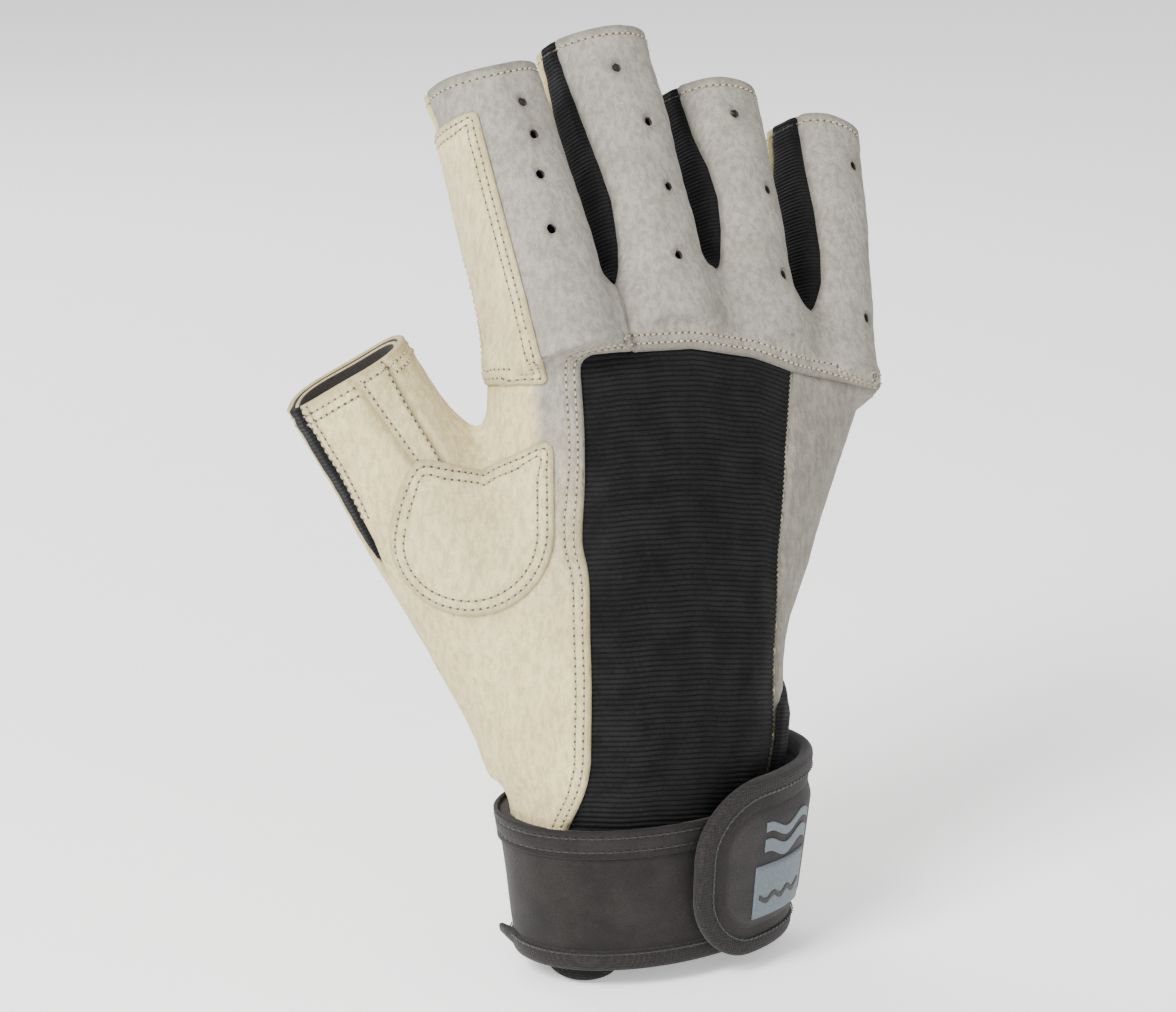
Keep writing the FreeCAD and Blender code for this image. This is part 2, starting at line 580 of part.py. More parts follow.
def make_strap(parts):
    """The closing strap: hook patch, band, edge tape, raised pad and badge, and the anchor sewn to the cuff."""
    hook_in = LOOP_PATCH + MOVING_GAP
    band_in = hook_in + HOOK_PATCH + SEWN_GAP
    band_out = band_in + STRAP
    pad_out = band_out + SEWN_GAP + STRAP_PAD
    parts["hook_patch"] = largest(strap_layer(hook_in, hook_in + HOOK_PATCH, STRAP_PAD_INSET))
    parts["strap_band"] = largest(strap_layer(band_in, band_out, STRAP_EDGE + SEWN_GAP))
    tape = strap_layer(band_in - STRAP_BINDING_PROUD, band_out + STRAP_BINDING_PROUD, 0)
    parts["strap_binding"] = largest(tape.cut(prism_y(strap_outline(STRAP_EDGE), (-FAR, FAR))))
    parts["strap_pad"] = largest(strap_layer(band_out + SEWN_GAP, pad_out, STRAP_PAD_INSET))
    middle = STRAP_LOW_Z + STRAP_HEIGHT / 2
    x = STRAP_END_X + BADGE_INSET_X
    window = block((x, x + BADGE_LENGTH), (-FAR, 0), (middle - BADGE_HALF_HEIGHT, middle + BADGE_HALF_HEIGHT))
    badge = cuff_layer(pad_out + SEWN_GAP, pad_out + SEWN_GAP + BADGE, 0, STRAP_HEIGHT)
    parts["strap_badge"] = largest(badge.common(window).common(strap_side()))

    reach = STRAP_ANCHOR_LENGTH + STRAP_ANCHOR_GAP
    point, normal = strap_hinge()
    radius = point.Length
    start = math.degrees(STRAP_ANCHOR_GAP / radius) + math.degrees(math.atan2(point.y, point.x))
    sweep = math.degrees(STRAP_ANCHOR_LENGTH / radius) * 1.15
    sector = block((0, FAR), (0, FAR), (-FAR, FAR))
    sector.Placement = Placement(Vector(0, 0, 0), Rotation(Vector(0, 0, 1), start))
    beyond = block((0, FAR), (0, FAR), (-FAR, FAR))
    beyond.Placement = Placement(Vector(0, 0, 0), Rotation(Vector(0, 0, 1), start + sweep))
    low = (CUFF_HEIGHT - STRAP_ANCHOR_HEIGHT) / 2
    anchor = cuff_layer(CUFF_TAPE + 2 * SEWN_GAP, CUFF_TAPE + STRAP, low, low + STRAP_ANCHOR_HEIGHT)
    parts["strap_anchor"] = largest(anchor.common(sector).cut(beyond))


def report_joints():
    """Prints the hinge lines, which the record states, in the glove's frame."""
    for name, finger in FINGERS.items():
        place = finger_frame(finger)
        point = place.multVec(finger_hinge(finger))
        axis = place.Rotation.multVec(Vector(-1, 0, 0))
        print("joint", name, [round(v / 1000, 6) for v in point], [round(v, 6) for v in axis])
    place = thumb_frame()
    point = place.multVec(Vector(0, THUMB_HALF_ROOT[1] + MOVING_GAP, 0))
    axis = place.Rotation.multVec(Vector(-1, 0, 0))
    print("joint thumb", [round(v / 1000, 6) for v in point], [round(v, 6) for v in axis])
    point, normal = strap_hinge()
    pin = point + normal * (LOOP_PATCH + MOVING_GAP)
    print("joint strap", [round(v / 1000, 6) for v in pin])


def main():
    parts = {}
    make_hand(parts)
    make_hand_patches(parts)
    make_webs(parts)
    for name, finger in FINGERS.items():
        make_finger(name, finger, parts)
    make_thumb(parts)
    make_cuff(parts)
    make_strap(parts)
    os.makedirs("parts", exist_ok=True)
    for name, shape in sorted(parts.items()):
        print(name, shape.ShapeType, len(shape.Solids), round(shape.Volume, 1), shape.isValid())
        shape.exportStep(f"parts/{name}.step")
    report_joints()


main()
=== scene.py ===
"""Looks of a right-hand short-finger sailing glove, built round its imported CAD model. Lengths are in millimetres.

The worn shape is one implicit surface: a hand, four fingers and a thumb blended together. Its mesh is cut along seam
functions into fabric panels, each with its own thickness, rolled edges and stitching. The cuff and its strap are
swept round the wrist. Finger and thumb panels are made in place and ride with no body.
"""

import json
import logging
import math
from dataclasses import dataclass, field
from enum import Enum
from typing import Callable, Iterable, Optional, Sequence

import bpy
import numpy as np
from mathutils import Matrix, Vector

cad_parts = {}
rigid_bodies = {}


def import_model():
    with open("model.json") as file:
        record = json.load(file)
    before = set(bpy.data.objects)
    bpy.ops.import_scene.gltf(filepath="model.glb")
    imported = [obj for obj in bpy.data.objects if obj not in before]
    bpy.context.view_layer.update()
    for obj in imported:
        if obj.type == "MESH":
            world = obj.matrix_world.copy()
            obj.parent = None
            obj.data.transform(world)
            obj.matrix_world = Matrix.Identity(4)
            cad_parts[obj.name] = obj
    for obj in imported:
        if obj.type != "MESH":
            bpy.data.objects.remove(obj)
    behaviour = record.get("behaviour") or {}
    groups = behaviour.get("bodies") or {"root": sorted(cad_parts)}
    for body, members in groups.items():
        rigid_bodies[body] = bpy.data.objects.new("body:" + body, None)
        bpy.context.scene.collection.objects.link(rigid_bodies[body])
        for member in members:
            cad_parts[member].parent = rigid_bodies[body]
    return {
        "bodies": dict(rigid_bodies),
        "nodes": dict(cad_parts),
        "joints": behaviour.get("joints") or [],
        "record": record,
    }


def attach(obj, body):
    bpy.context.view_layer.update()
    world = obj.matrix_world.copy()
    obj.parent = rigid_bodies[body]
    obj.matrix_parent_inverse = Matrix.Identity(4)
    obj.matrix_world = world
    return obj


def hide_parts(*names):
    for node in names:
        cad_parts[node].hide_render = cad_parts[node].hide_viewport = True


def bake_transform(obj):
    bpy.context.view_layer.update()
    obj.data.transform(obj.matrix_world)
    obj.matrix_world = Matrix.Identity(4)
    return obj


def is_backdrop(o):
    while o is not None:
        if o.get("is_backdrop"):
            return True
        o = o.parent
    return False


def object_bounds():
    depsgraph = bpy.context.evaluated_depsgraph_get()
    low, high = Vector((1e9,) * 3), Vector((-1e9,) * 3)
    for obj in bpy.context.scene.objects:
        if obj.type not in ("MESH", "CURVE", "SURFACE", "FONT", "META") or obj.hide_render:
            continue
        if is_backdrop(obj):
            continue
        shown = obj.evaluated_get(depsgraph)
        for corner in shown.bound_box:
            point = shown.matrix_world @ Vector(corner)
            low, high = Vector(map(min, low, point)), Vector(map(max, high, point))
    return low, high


log = logging.getLogger("glove")

Array = np.ndarray
Scalar = Callable[[Array], Array]
Material = bpy.types.Material

MM = 0.001
GRID_STEP = 1.1            # of the grid that the worn shape is sampled on
SNAP = 0.05                # a vertex this close to a cut is taken to lie on it
EDGE_LEVELS = (0.3, 0.7, 1.1, 1.6)
STITCH_PITCH = 1.45
STITCH_RADIUS = 0.2
RIB_PITCH = 1.0
SUEDE_THICKNESS = 1.2
PATCH_LIFT = 0.95
HINGE_CUT = 1.0            # a finger's own panels start this far along its axis
BEND_LENGTH = 13.0         # how far along a finger its Bend's end lies past its start
THUMB_BEND_LENGTH = 15.0
DOUBLE_ROW = (1.1, 2.8)    # distances of two rows of stitches from an edge
HEM_ROW = (1.6,)
MM_PER_DEGREE = 0.2        # round a finger
THUMB_MM_PER_DEGREE = 0.235
NO_EDGE = 9.0              # distance from the edge on pieces whose finish doesn't change there


# ---- frames and fields ----


@dataclass(frozen=True)
class Frame:
    """A right-handed frame whose axes are the columns of a matrix."""

    origin: Array
    axes: Array

    def local(self, p: Array) -> Array:
        """Takes points into this frame."""
        return (p - self.origin) @ self.axes

    def world(self, q: Array) -> Array:
        """Takes points of this frame out of it."""
        return q @ self.axes.T + self.origin

    def holding(self, child: "Frame") -> "Frame":
        """The frame of a child that is stated in this one."""
        return Frame(self.world(child.origin[None])[0], self.axes @ child.axes)


def vec(*values: float) -> Array:
    """A float vector."""
    return np.array(values, dtype=float)


def unit(v: Array) -> Array:
    """Vectors scaled to length one along the last axis."""
    return v / np.maximum(np.linalg.norm(v, axis=-1, keepdims=True), 1e-12)


def turn_about(axis: Array, degrees: float) -> Array:
    """The rotation matrix about a unit axis.

    Args:
        axis: unit vector.
        degrees: how far, anticlockwise.

    Returns:
        A 3 by 3 matrix.
    """
    a = math.radians(degrees)
    k = np.array([[0, -axis[2], axis[1]], [axis[2], 0, -axis[0]], [-axis[1], axis[0], 0]])
    return np.eye(3) + math.sin(a) * k + (1 - math.cos(a)) * (k @ k)


WORLD = Frame(np.zeros(3), np.eye(3))
LEAN = 13.0
LEAN_AZIMUTH = math.radians(52.0)
FRONT = vec(-math.cos(LEAN_AZIMUTH), -math.sin(LEAN_AZIMUTH), 0)   # level direction that faces the viewer
ACROSS = vec(math.sin(LEAN_AZIMUTH), -math.cos(LEAN_AZIMUTH), 0)   # to the viewer's right
_lean = turn_about(-ACROSS, LEAN)
HAND = Frame(vec(0, 0, 37) - _lean @ vec(-3.5, 0, 40), _lean)


def smooth_step(x: Array, low: float, high: float) -> Array:
    """A smooth ramp from 0 at low to 1 at high."""
    t = np.clip((x - low) / (high - low), 0, 1)
    return t * t * (3 - 2 * t)


def smooth_min(a: Array, b: Array, k: float) -> Array:
    """The smaller of two values with a rounded change-over of width k."""
    h = np.clip(0.5 + 0.5 * (b - a) / k, 0, 1)
    return b * (1 - h) + a * h - k * h * (1 - h)


def smooth_max(a: Array, b: Array, k: float) -> Array:
    """The larger of two values with a rounded change-over of width k."""
    return -smooth_min(-a, -b, k)


class Tube:
    """A rounded-oval tube along the Z axis of a frame, as an approximate distance from its surface."""

    def __init__(self, frame: Frame, stations: Sequence[Sequence[float]], blur: float = 4.0) -> None:
        """Samples the stations finely and blurs them.

        Args:
            frame: where the tube stands.
            stations: rows of height, centre x, centre y, half width, half depth and roundness.
            blur: how far along the tube neighbouring stations blend, in millimetres.
        """
        rows = np.array(stations, dtype=float)
        self.frame = frame
        self.heights = np.arange(rows[0, 0] - 20, rows[-1, 0] + 20, 0.5)
        kernel = np.exp(-0.5 * (np.arange(-40, 41) * 0.5 / blur) ** 2)
        kernel /= kernel.sum()
        self.columns = []
        for column in rows[:, 1:].T:
            values = np.interp(self.heights, rows[:, 0], column)
            padded = np.pad(values, 40, mode="edge")
            self.columns.append(np.convolve(padded, kernel, mode="valid"))

    def __call__(self, p: Array) -> Array:
        """Distance from the surface, negative inside.

        Args:
            p: points in millimetres.

        Returns:
            Signed distances, negative inside.
        """
        q = self.frame.local(p)
        x, y, a, b, n = (np.interp(q[:, 2], self.heights, c) for c in self.columns)
        across = np.abs(q[:, 0] - x) / a + 1e-9
        deep = np.abs(q[:, 1] - y) / b + 1e-9
        total = across**n + deep**n
        slope = total ** (1 / n - 1) * np.hypot(across ** (n - 1) / a, deep ** (n - 1) / b)
        return (total ** (1 / n) - 1) / np.maximum(slope, 0.5 / np.maximum(a, b))


@dataclass(frozen=True)
class Finger:
    """A finger of the glove: its axis starts at the knuckle, in the hand's frame."""

    name: str
    base: tuple[float, float]
    base_half: tuple[float, float]
    tip_half: tuple[float, float]
    length: float
    bend: float
    lean: float
    holes: tuple[tuple[float, float], ...]
    back_seam: tuple[tuple[float, float], ...]    # thumb-side seam as (height, degrees from the back)
    far_seam: float                               # little-finger side seam, in degrees from the back
    bulge: float = 0.9

    @property
    def frame(self) -> Frame:
        """X across to the little-finger side, Y to the palm, Z along the finger.

        Returns:
            The frame, in world millimetres.
        """
        bend, lean = math.radians(self.bend), math.radians(self.lean)
        across = vec(math.cos(lean), 0, -math.sin(lean))
        straight = vec(math.sin(lean), 0, math.cos(lean))
        along = straight * math.cos(bend) + vec(0, 1, 0) * math.sin(bend)
        inward = vec(0, 1, 0) * math.cos(bend) - straight * math.sin(bend)
        return HAND.holding(Frame(vec(self.base[0], 0, self.base[1]), np.stack([across, inward, along], 1)))

    @property
    def tube(self) -> Tube:
        """The finger's tapered tube, slightly arched to the back.

        Returns:
            The tube.
        """
        rows = []
        for t in np.linspace(-0.4, 1.25, 12):
            a, d = (b + (e - b) * t for b, e in zip(self.base_half, self.tip_half))
            arch = -self.bulge * (4 * t * (1 - t) if 0 < t < 1 else 0)
            rows.append((t * self.length, 0, arch, a, d, 2.25))
        return Tube(self.frame, rows, 3.0)

    def height(self, p: Array) -> Array:
        """Height of points along the finger."""
        return self.frame.local(p)[:, 2]

    def angle(self, p: Array) -> Array:
        """Angle of points round the finger in degrees: 0 at the back, positive to the little-finger side."""
        q = self.frame.local(p)
        return np.degrees(np.arctan2(q[:, 0], -q[:, 1]))


FINGERS = (
    Finger("index", (-28.5, 130), (11.0, 13.5), (10.6, 10.8), 44, 16, -8,
           ((9.7, -12.5), (20.8, -7), (29, 0.5), (35.9, 0)), ((0, -180), (44, -180)), 72),
    Finger("middle", (-4.5, 135), (11.5, 13.5), (10.4, 10.6), 48, 18, -1,
           ((-1, 0), (13.5, 7), (27.4, 2.5), (39.3, -17)),
           ((-4, -60), (3, -54), (12, -51), (20, -56), (31, -67), (45, -81)), 76),
    Finger("ring", (19.0, 132), (11.1, 13.0), (9.6, 10.0), 42, 18, 5,
           ((0.6, 17), (18, 15), (34.4, -8)),
           ((-4, -56), (2, -48), (9, -43), (16, -42), (23, -48), (31, -62), (41, -74)), 76),
    Finger("little", (41.6, 125), (10.3, 12.0), (8.8, 9.0), 44, 17, 13,
           ((0.3, 18), (16.6, 32), (33.9, 14.5)),
           ((-2, -48), (5, -37), (12, -37), (22, -43), (32, -53), (42, -62)), 180),
)
PALM_SEAM = 116.0          # degrees from the back of a finger to its palm seams
WEB_BOTTOMS = ((-16.0, 131.6), (8.6, 134.8), (31.6, 127.4))   # lowest points of the ribbed webs: x and height

THUMB_ROOT = vec(-23.6, 8, 55)
THUMB_TIP = vec(-61, 20, 114.4)
THUMB_SLEEVE = 26.5


def thumb_frame() -> Frame:
    """The thumb's frame at the base of its sleeve: X to the index side, Y to the pad, Z along it.

    Returns:
        The frame, in world millimetres.
    """
    along = unit(THUMB_TIP - THUMB_ROOT)
    pad = vec(0.75, 0.65, 0)
    pad = unit(pad - along * (pad @ along))
    axes = np.stack([np.cross(pad, along), pad, along], 1)
    return HAND.holding(Frame(THUMB_TIP - along * THUMB_SLEEVE, axes))


THUMB = thumb_frame()


class WornShape:
    """The glove's outer face as one field: negative inside, about a distance in millimetres outside."""

    HAND_ROWS = (
        (45, -4.1, 0, 30.1, 21.5, 2.3), (62, -3.9, 0, 30.7, 21.0, 2.3), (80, -0.6, 0, 36.2, 19.5, 2.3),
        (95, 2.3, 0, 39.8, 18.5, 2.3), (110, 5.6, 0, 43.8, 17.3, 2.3), (122, 7.6, 0.2, 45.6, 15.6, 2.35),
        (131, 8.3, 0.8, 46.0, 13.6, 2.5), (142, 9, 2.2, 46.6, 12.6, 2.6),
    )
    TOP = ((-42, 121), (-28.5, 130), (-16, 132.6), (-4.5, 137), (8, 135.8), (19, 133), (31.5, 128.4), (42, 122),
           (56, 112))
    DENTS = (   # two ends in the hand's frame, width and depth
        (vec(-42, -8, 121.5), vec(-40, 6, 120.5), 2.6, 1.6),
        (vec(-33, -14, 93), vec(-25.5, -9, 74), 3.6, 1.9),
        (vec(-9, -18, 127), vec(-12, -16, 118), 4.5, 0.8),
        (vec(13, -17, 130), vec(9, -18, 120), 4.0, 0.9),
        (vec(33, -14, 124), vec(28, -17, 112), 4.0, 0.9),
        (vec(9, -22, 66), vec(5, -23, 40), 4.0, 0.9),
    )

    def __init__(self) -> None:
        """Sets up the tubes of the cuff, hand, fingers and thumb."""
        self.cuff = Tube(WORLD, ((0, 0, 0, 24.8, 16.7, 2.1), (28.5, 0, 0, 29.2, 19.4, 2.1), (60, 0, 0, 33, 22, 2.1)))
        self.hand = Tube(HAND, self.HAND_ROWS)
        self.fingers = [finger.tube for finger in FINGERS]
        full = float(np.linalg.norm(THUMB_TIP - THUMB_ROOT))
        rows = []
        for t in np.linspace(-0.3, 1.2, 10):
            half = 16 + (13.1 - 16) * t
            rows.append((t * full - full + THUMB_SLEEVE, 0, 0, half, half, 2.1))
        self.thumb = Tube(THUMB, rows)
        self.thumb_start = THUMB_SLEEVE - full - 8

    def palm(self, p: Array) -> Array:
        """The hand without its fingers and thumb.

        Args:
            p: points in millimetres.

        Returns:
            Signed distances, negative inside.
        """
        q = HAND.local(p)
        rise = smooth_step(p[:, 2], 28, 47)
        tube = self.cuff(p) * (1 - rise) + self.hand(p) * rise
        top = np.interp(q[:, 0], *np.array(self.TOP, dtype=float).T)
        return smooth_max(tube, q[:, 2] - top, 6)

    def finger(self, k: int, p: Array) -> Array:
        """One finger, which starts inside the hand."""
        return np.maximum(self.fingers[k](p), -14 - FINGERS[k].height(p))

    def rest(self, p: Array) -> Array:
        """Everything but the thumb.

        Args:
            p: points in millimetres.

        Returns:
            Signed distances, negative inside.
        """
        fingers = self.finger(0, p)
        for k in (1, 2, 3):
            fingers = smooth_min(fingers, self.finger(k, p), 1.2)
        return smooth_min(self.palm(p), fingers, 4.0)

    def thumb_only(self, p: Array) -> Array:
        """The thumb, which starts inside the hand."""
        return np.maximum(self.thumb(p), self.thumb_start - THUMB.local(p)[:, 2])

    def __call__(self, p: Array) -> Array:
        """The whole shape with its soft dents and slow unevenness.

        Args:
            p: points in millimetres.

        Returns:
            Signed distances, negative inside.
        """
        value = smooth_min(self.rest(p), self.thumb_only(p), 9.0)
        q = HAND.local(p)
        for a, b, width, depth in self.DENTS:
            along = np.clip(((q - a) @ (b - a)) / ((b - a) @ (b - a)), 0, 1)
            gap = np.linalg.norm(q - a - along[:, None] * (b - a), axis=1)
            value = value + depth * np.exp(-((gap / width) ** 2))
        wave = np.sin(q[:, 0] * 0.21 + 1.3 * np.sin(q[:, 2] * 0.09)) * np.sin(q[:, 2] * 0.17 + q[:, 1] * 0.15 + 0.7)
        return value + 0.22 * wave

    def normals(self, p: Array) -> Array:
        """Unit normals from central differences.

        Args:
            p: points in millimetres.

        Returns:
            Outward unit vectors.
        """
        step = 0.15
        columns = []
        for axis in np.eye(3):
            columns.append(self(p + step * axis) - self(p - step * axis))
        return unit(np.stack(columns, 1))

    def project(self, p: Array, steps: int = 2) -> Array:
        """Moves points onto the surface.

        Args:
            p: points in millimetres.
            steps: how many times.

        Returns:
            The points moved onto the surface.
        """
        for _ in range(steps):
            n = self.normals(p)
            slope = (self(p + 0.1 * n) - self(p - 0.1 * n)) / 0.2
            p = p - n * (self(p) / np.maximum(slope, 0.3))[:, None]
        return p


# ---- meshes of the outer face ----


@dataclass
class Cloth:
    """Triangles of a fabric's outer face, with the shape that they lie on."""

    shape: WornShape
    points: Array
    faces: Array

    def cut(self, value: Scalar, level: float = 0.0, below: bool = False) -> tuple["Cloth", Array]:
        """Inserts the line where a function has a level.

        Args:
            value: the function, of points in millimetres.
            level: the value that the line follows.
            below: whether to drop what lies above the line.

        Returns:
            The cut mesh and a mask of the points on the line.
        """
        v = value(self.points) - level
        v[np.abs(v) < SNAP] = 0
        sign = np.sign(v).astype(int)
        signs = sign[self.faces]
        crossing = (signs.min(1) < 0) & (signs.max(1) > 0)
        whole, cut, cut_signs = self.faces[~crossing], self.faces[crossing], signs[crossing]
        count = len(self.points)
        points = self.points
        if len(cut):
            pairs = np.concatenate([cut[:, [0, 1]], cut[:, [1, 2]], cut[:, [2, 0]]])
            pairs = np.sort(pairs[sign[pairs[:, 0]] * sign[pairs[:, 1]] < 0], axis=1)
            keys = np.unique(pairs[:, 0].astype(np.int64) * count + pairs[:, 1])
            a, b = keys // count, keys % count
            t = (v[a] / (v[a] - v[b]))[:, None]
            fresh = self.shape.project(self.points[a] * (1 - t) + self.points[b] * t, 1)
            points = np.concatenate([points, fresh])
            sign = np.concatenate([sign, np.zeros(len(fresh), int)])

            def crossing_point(i: Array, j: Array) -> Array:
                """Numbers of the new points on the edges between two sets of points."""
                low, high = np.minimum(i, j).astype(np.int64), np.maximum(i, j)
                return count + np.searchsorted(keys, low * count + high)

            zero = cut_signs == 0
            tied = zero.any(1)
            first = np.where(tied, zero.argmax(1), (cut_signs * -np.sign(cut_signs.sum(1))[:, None]).argmax(1))
            order = (first[:, None] + np.arange(3)) % 3
            o, p, q = np.take_along_axis(cut, order, 1).T
            e = crossing_point(p[tied], q[tied])
            halves = [np.stack([o[tied], p[tied], e], 1), np.stack([o[tied], e, q[tied]], 1)]
            free = ~tied
            e1, e2 = crossing_point(o[free], p[free]), crossing_point(o[free], q[free])
            halves += [np.stack([o[free], e1, e2], 1), np.stack([e1, p[free], q[free]], 1),
                       np.stack([e1, q[free], e2], 1)]
            whole = np.concatenate([whole] + halves)
        if below:
            whole = whole[sign[whole].max(1) <= 0]
            used, inverse = np.unique(whole, return_inverse=True)
            return Cloth(self.shape, points[used], inverse.reshape(-1, 3)), sign[used] == 0
        return Cloth(self.shape, points, whole), sign == 0

    def lines(self, value: Scalar, level: float) -> list[Array]:
        """The lines along the mesh where a function has a level, as lists of points.

        Args:
            value: the function, of points in millimetres.
            level: value that the lines follow.

        Returns:
            One array of ordered points for each line.
        """
        cloth, on = self.cut(value, level)
        edges = np.concatenate([cloth.faces[:, [0, 1]], cloth.faces[:, [1, 2]], cloth.faces[:, [2, 0]]])
        edges = np.unique(np.sort(edges[on[edges].all(1)], axis=1), axis=0)
        near: dict[int, list[int]] = {}
        for a, b in edges.tolist():
            near.setdefault(a, []).append(b)
            near.setdefault(b, []).append(a)
        found = []
        starts = sorted(near, key=lambda k: len(near[k]))
        seen: set[int] = set()
        for start in starts:
            if start in seen:
                continue
            chain = [start]
            seen.add(start)
            while True:
                following = [k for k in near[chain[-1]] if k not in seen]
                if not following:
                    break
                chain.append(following[0])
                seen.add(following[0])
            if len(chain) > 2:
                found.append(cloth.points[chain])
        return found


def extract(shape: WornShape, low: Array, high: Array) -> Cloth:
    """The shape's surface inside a box, by surface nets on a regular grid.

    Args:
        shape: the worn shape.
        low: lowest corner of the box.
        high: highest corner of the box.

    Returns:
        The surface as triangles.
    """
    axes = [np.arange(a, b + GRID_STEP, GRID_STEP) for a, b in zip(low, high)]
    size = tuple(len(a) for a in axes)
    grid = np.stack(np.meshgrid(*axes, indexing="ij"), -1).reshape(-1, 3)
    values = np.concatenate([shape(part) for part in np.array_split(grid, 12)]).reshape(size)
    offsets = np.array([(i, j, k) for i in (0, 1) for j in (0, 1) for k in (0, 1)])

    def corner(offset: Array) -> Array:
        """The samples at one corner of every cell."""
        return values[offset[0]:size[0] - 1 + offset[0], offset[1]:size[1] - 1 + offset[1],
                      offset[2]:size[2] - 1 + offset[2]]

    inside = sum((corner(o) < 0).astype(int) for o in offsets)
    mixed = (inside > 0) & (inside < 8)
    cells = np.argwhere(mixed)
    index = np.full(mixed.shape, -1)
    index[mixed] = np.arange(len(cells))
    total = np.zeros((len(cells), 3))
    crossings = np.zeros(len(cells))
    for i, a in enumerate(offsets):
        for b in offsets[i + 1:]:
            if np.abs(a - b).sum() != 1:
                continue
            va, vb = corner(a)[mixed], corner(b)[mixed]
            cross = (va < 0) != (vb < 0)
            t = va[cross] / (va[cross] - vb[cross])
            total[cross] += a + t[:, None] * (b - a)
            crossings[cross] += 1
    points = (cells + total / crossings[:, None]) * GRID_STEP + low
    quads = []
    for axis in range(3):
        b, c = (axis + 1) % 3, (axis + 2) % 3
        first = np.take(values, range(size[axis] - 1), axis) < 0
        second = np.take(values, range(1, size[axis]), axis) < 0
        spots = np.argwhere(first != second)
        ok = (spots[:, b] > 0) & (spots[:, c] > 0) & (spots[:, b] < size[b] - 1) & (spots[:, c] < size[c] - 1)
        spots = spots[ok]
        step_b, step_c = np.eye(3, dtype=int)[b], np.eye(3, dtype=int)[c]
        ring = [spots, spots - step_b, spots - step_b - step_c, spots - step_c]
        quad = np.stack([index[tuple(r.T)] for r in ring], 1)
        outward = first[tuple(spots.T)]
        quads.append(np.where(outward[:, None], quad, quad[:, ::-1]))
    quad = np.concatenate(quads)
    points = shape.project(points, 4)
    short = (np.linalg.norm(points[quad[:, 0]] - points[quad[:, 2]], axis=1)
             <= np.linalg.norm(points[quad[:, 1]] - points[quad[:, 3]], axis=1))[:, None]
    one = np.where(short, quad[:, [0, 1, 2]], quad[:, [0, 1, 3]])
    two = np.where(short, quad[:, [0, 2, 3]], quad[:, [1, 2, 3]])
    cloth = Cloth(shape, points, np.concatenate([one, two]))
    a, b, c = (points[cloth.faces[:, k]] for k in range(3))
    facing = (np.cross(b - a, c - a) * shape.normals((a + b + c) / 3)).sum(1)
    if facing.mean() < 0:
        cloth.faces = cloth.faces[:, ::-1]
    return cloth


# ---- edges, relief and thickness ----


class Edge(Enum):
    """How an edge of a panel is finished: its relief, and how far its rim bulges."""

    TURNED = 0.10      # sewn to its neighbour from inside, so it dips into the seam
    LAP = 0.34         # folded under and topstitched over its neighbour
    PATCH = 0.25       # the cut edge of a second layer
    HEM = 0.45         # a free folded end
    HOLE = 0.02        # punched
    HIDDEN = 0.0       # under another piece
    JOIN = 0.001       # goes on as the next piece with no seam

    def relief(self, d: Array) -> Array:
        """How far the fabric stands out at a distance from the edge, both in millimetres.

        Args:
            d: distances from the edge.

        Returns:
            Heights to add to the face, one for each distance.
        """
        if self is Edge.TURNED:
            return 0.14 * np.exp(-(((d - 1.7) / 1.1) ** 2)) - 0.55 * np.exp(-((d / 0.75) ** 2))
        if self is Edge.LAP:
            rows = np.exp(-(((d - 1.1) / 0.42) ** 2)) + np.exp(-(((d - 2.8) / 0.42) ** 2))
            return 0.42 * (1 - smooth_step(d, 3.3, 5.2)) - 0.17 * rows - 0.22 * np.exp(-((d / 0.35) ** 2))
        if self is Edge.PATCH:
            rows = np.exp(-(((d - 1.1) / 0.42) ** 2)) + np.exp(-(((d - 2.8) / 0.42) ** 2))
            return -0.15 * rows - 0.25 * np.exp(-((d / 0.4) ** 2))
        if self is Edge.HEM:
            return 0.2 * (1 - smooth_step(d, 3.5, 5.5)) - 0.16 * np.exp(-(((d - 1.6) / 0.45) ** 2))
        if self is Edge.HOLE:
            return -0.4 * np.exp(-((d / 0.4) ** 2))
        return np.zeros_like(d)


@dataclass(frozen=True)
class Seam:
    """One edge of a panel: a function that is negative on the panel, and how that edge is finished."""

    value: Scalar
    edge: Edge

    def inward(self, shape: WornShape) -> Scalar:
        """Distance from this edge along the fabric, positive on the panel.

        Args:
            shape: the worn shape.

        Returns:
            A function of points that gives the distance.
        """
        def distance(p: Array) -> Array:
            """Distance from the edge along the fabric.

            Args:
                p: points in millimetres.

            Returns:
                Distances, positive on the panel.
            """
            step = 0.2
            slopes = [self.value(p + step * e) - self.value(p - step * e) for e in np.eye(3)]
            slope = np.stack(slopes, 1) / (2 * step)
            n = shape.normals(p)
            slope = slope - n * (slope * n).sum(1, keepdims=True)
            return -self.value(p) / np.clip(np.linalg.norm(slope, axis=1), 0.4, 2.0)
        return distance


@dataclass
class Solid:
    """Points, faces and per-point values of one finished mesh, in millimetres."""

    points: Array
    faces: list[Array]
    values: dict[str, Array] = field(default_factory=dict)
    shades: list[int] = field(default_factory=list)      # material index of each block of faces
    fixed_normals: Optional[Array] = None

    def join(self, other: "Solid") -> "Solid":
        """This mesh and another as one.

        Args:
            other: the other mesh.

        Returns:
            The joined mesh.
        """
        shift = len(self.points)
        names = set(self.values) & set(other.values)
        return Solid(
            np.concatenate([self.points, other.points]),
            self.faces + [f + shift for f in other.faces],
            {k: np.concatenate([self.values[k], other.values[k]]) for k in names},
            self.shades + other.shades,
        )


def joined(solids: Iterable[Solid]) -> Solid:
    """Several meshes as one.

    Args:
        solids: the meshes.

    Returns:
        The joined mesh.
    """
    first, *others = solids
    for other in others:
        first = first.join(other)
    return first


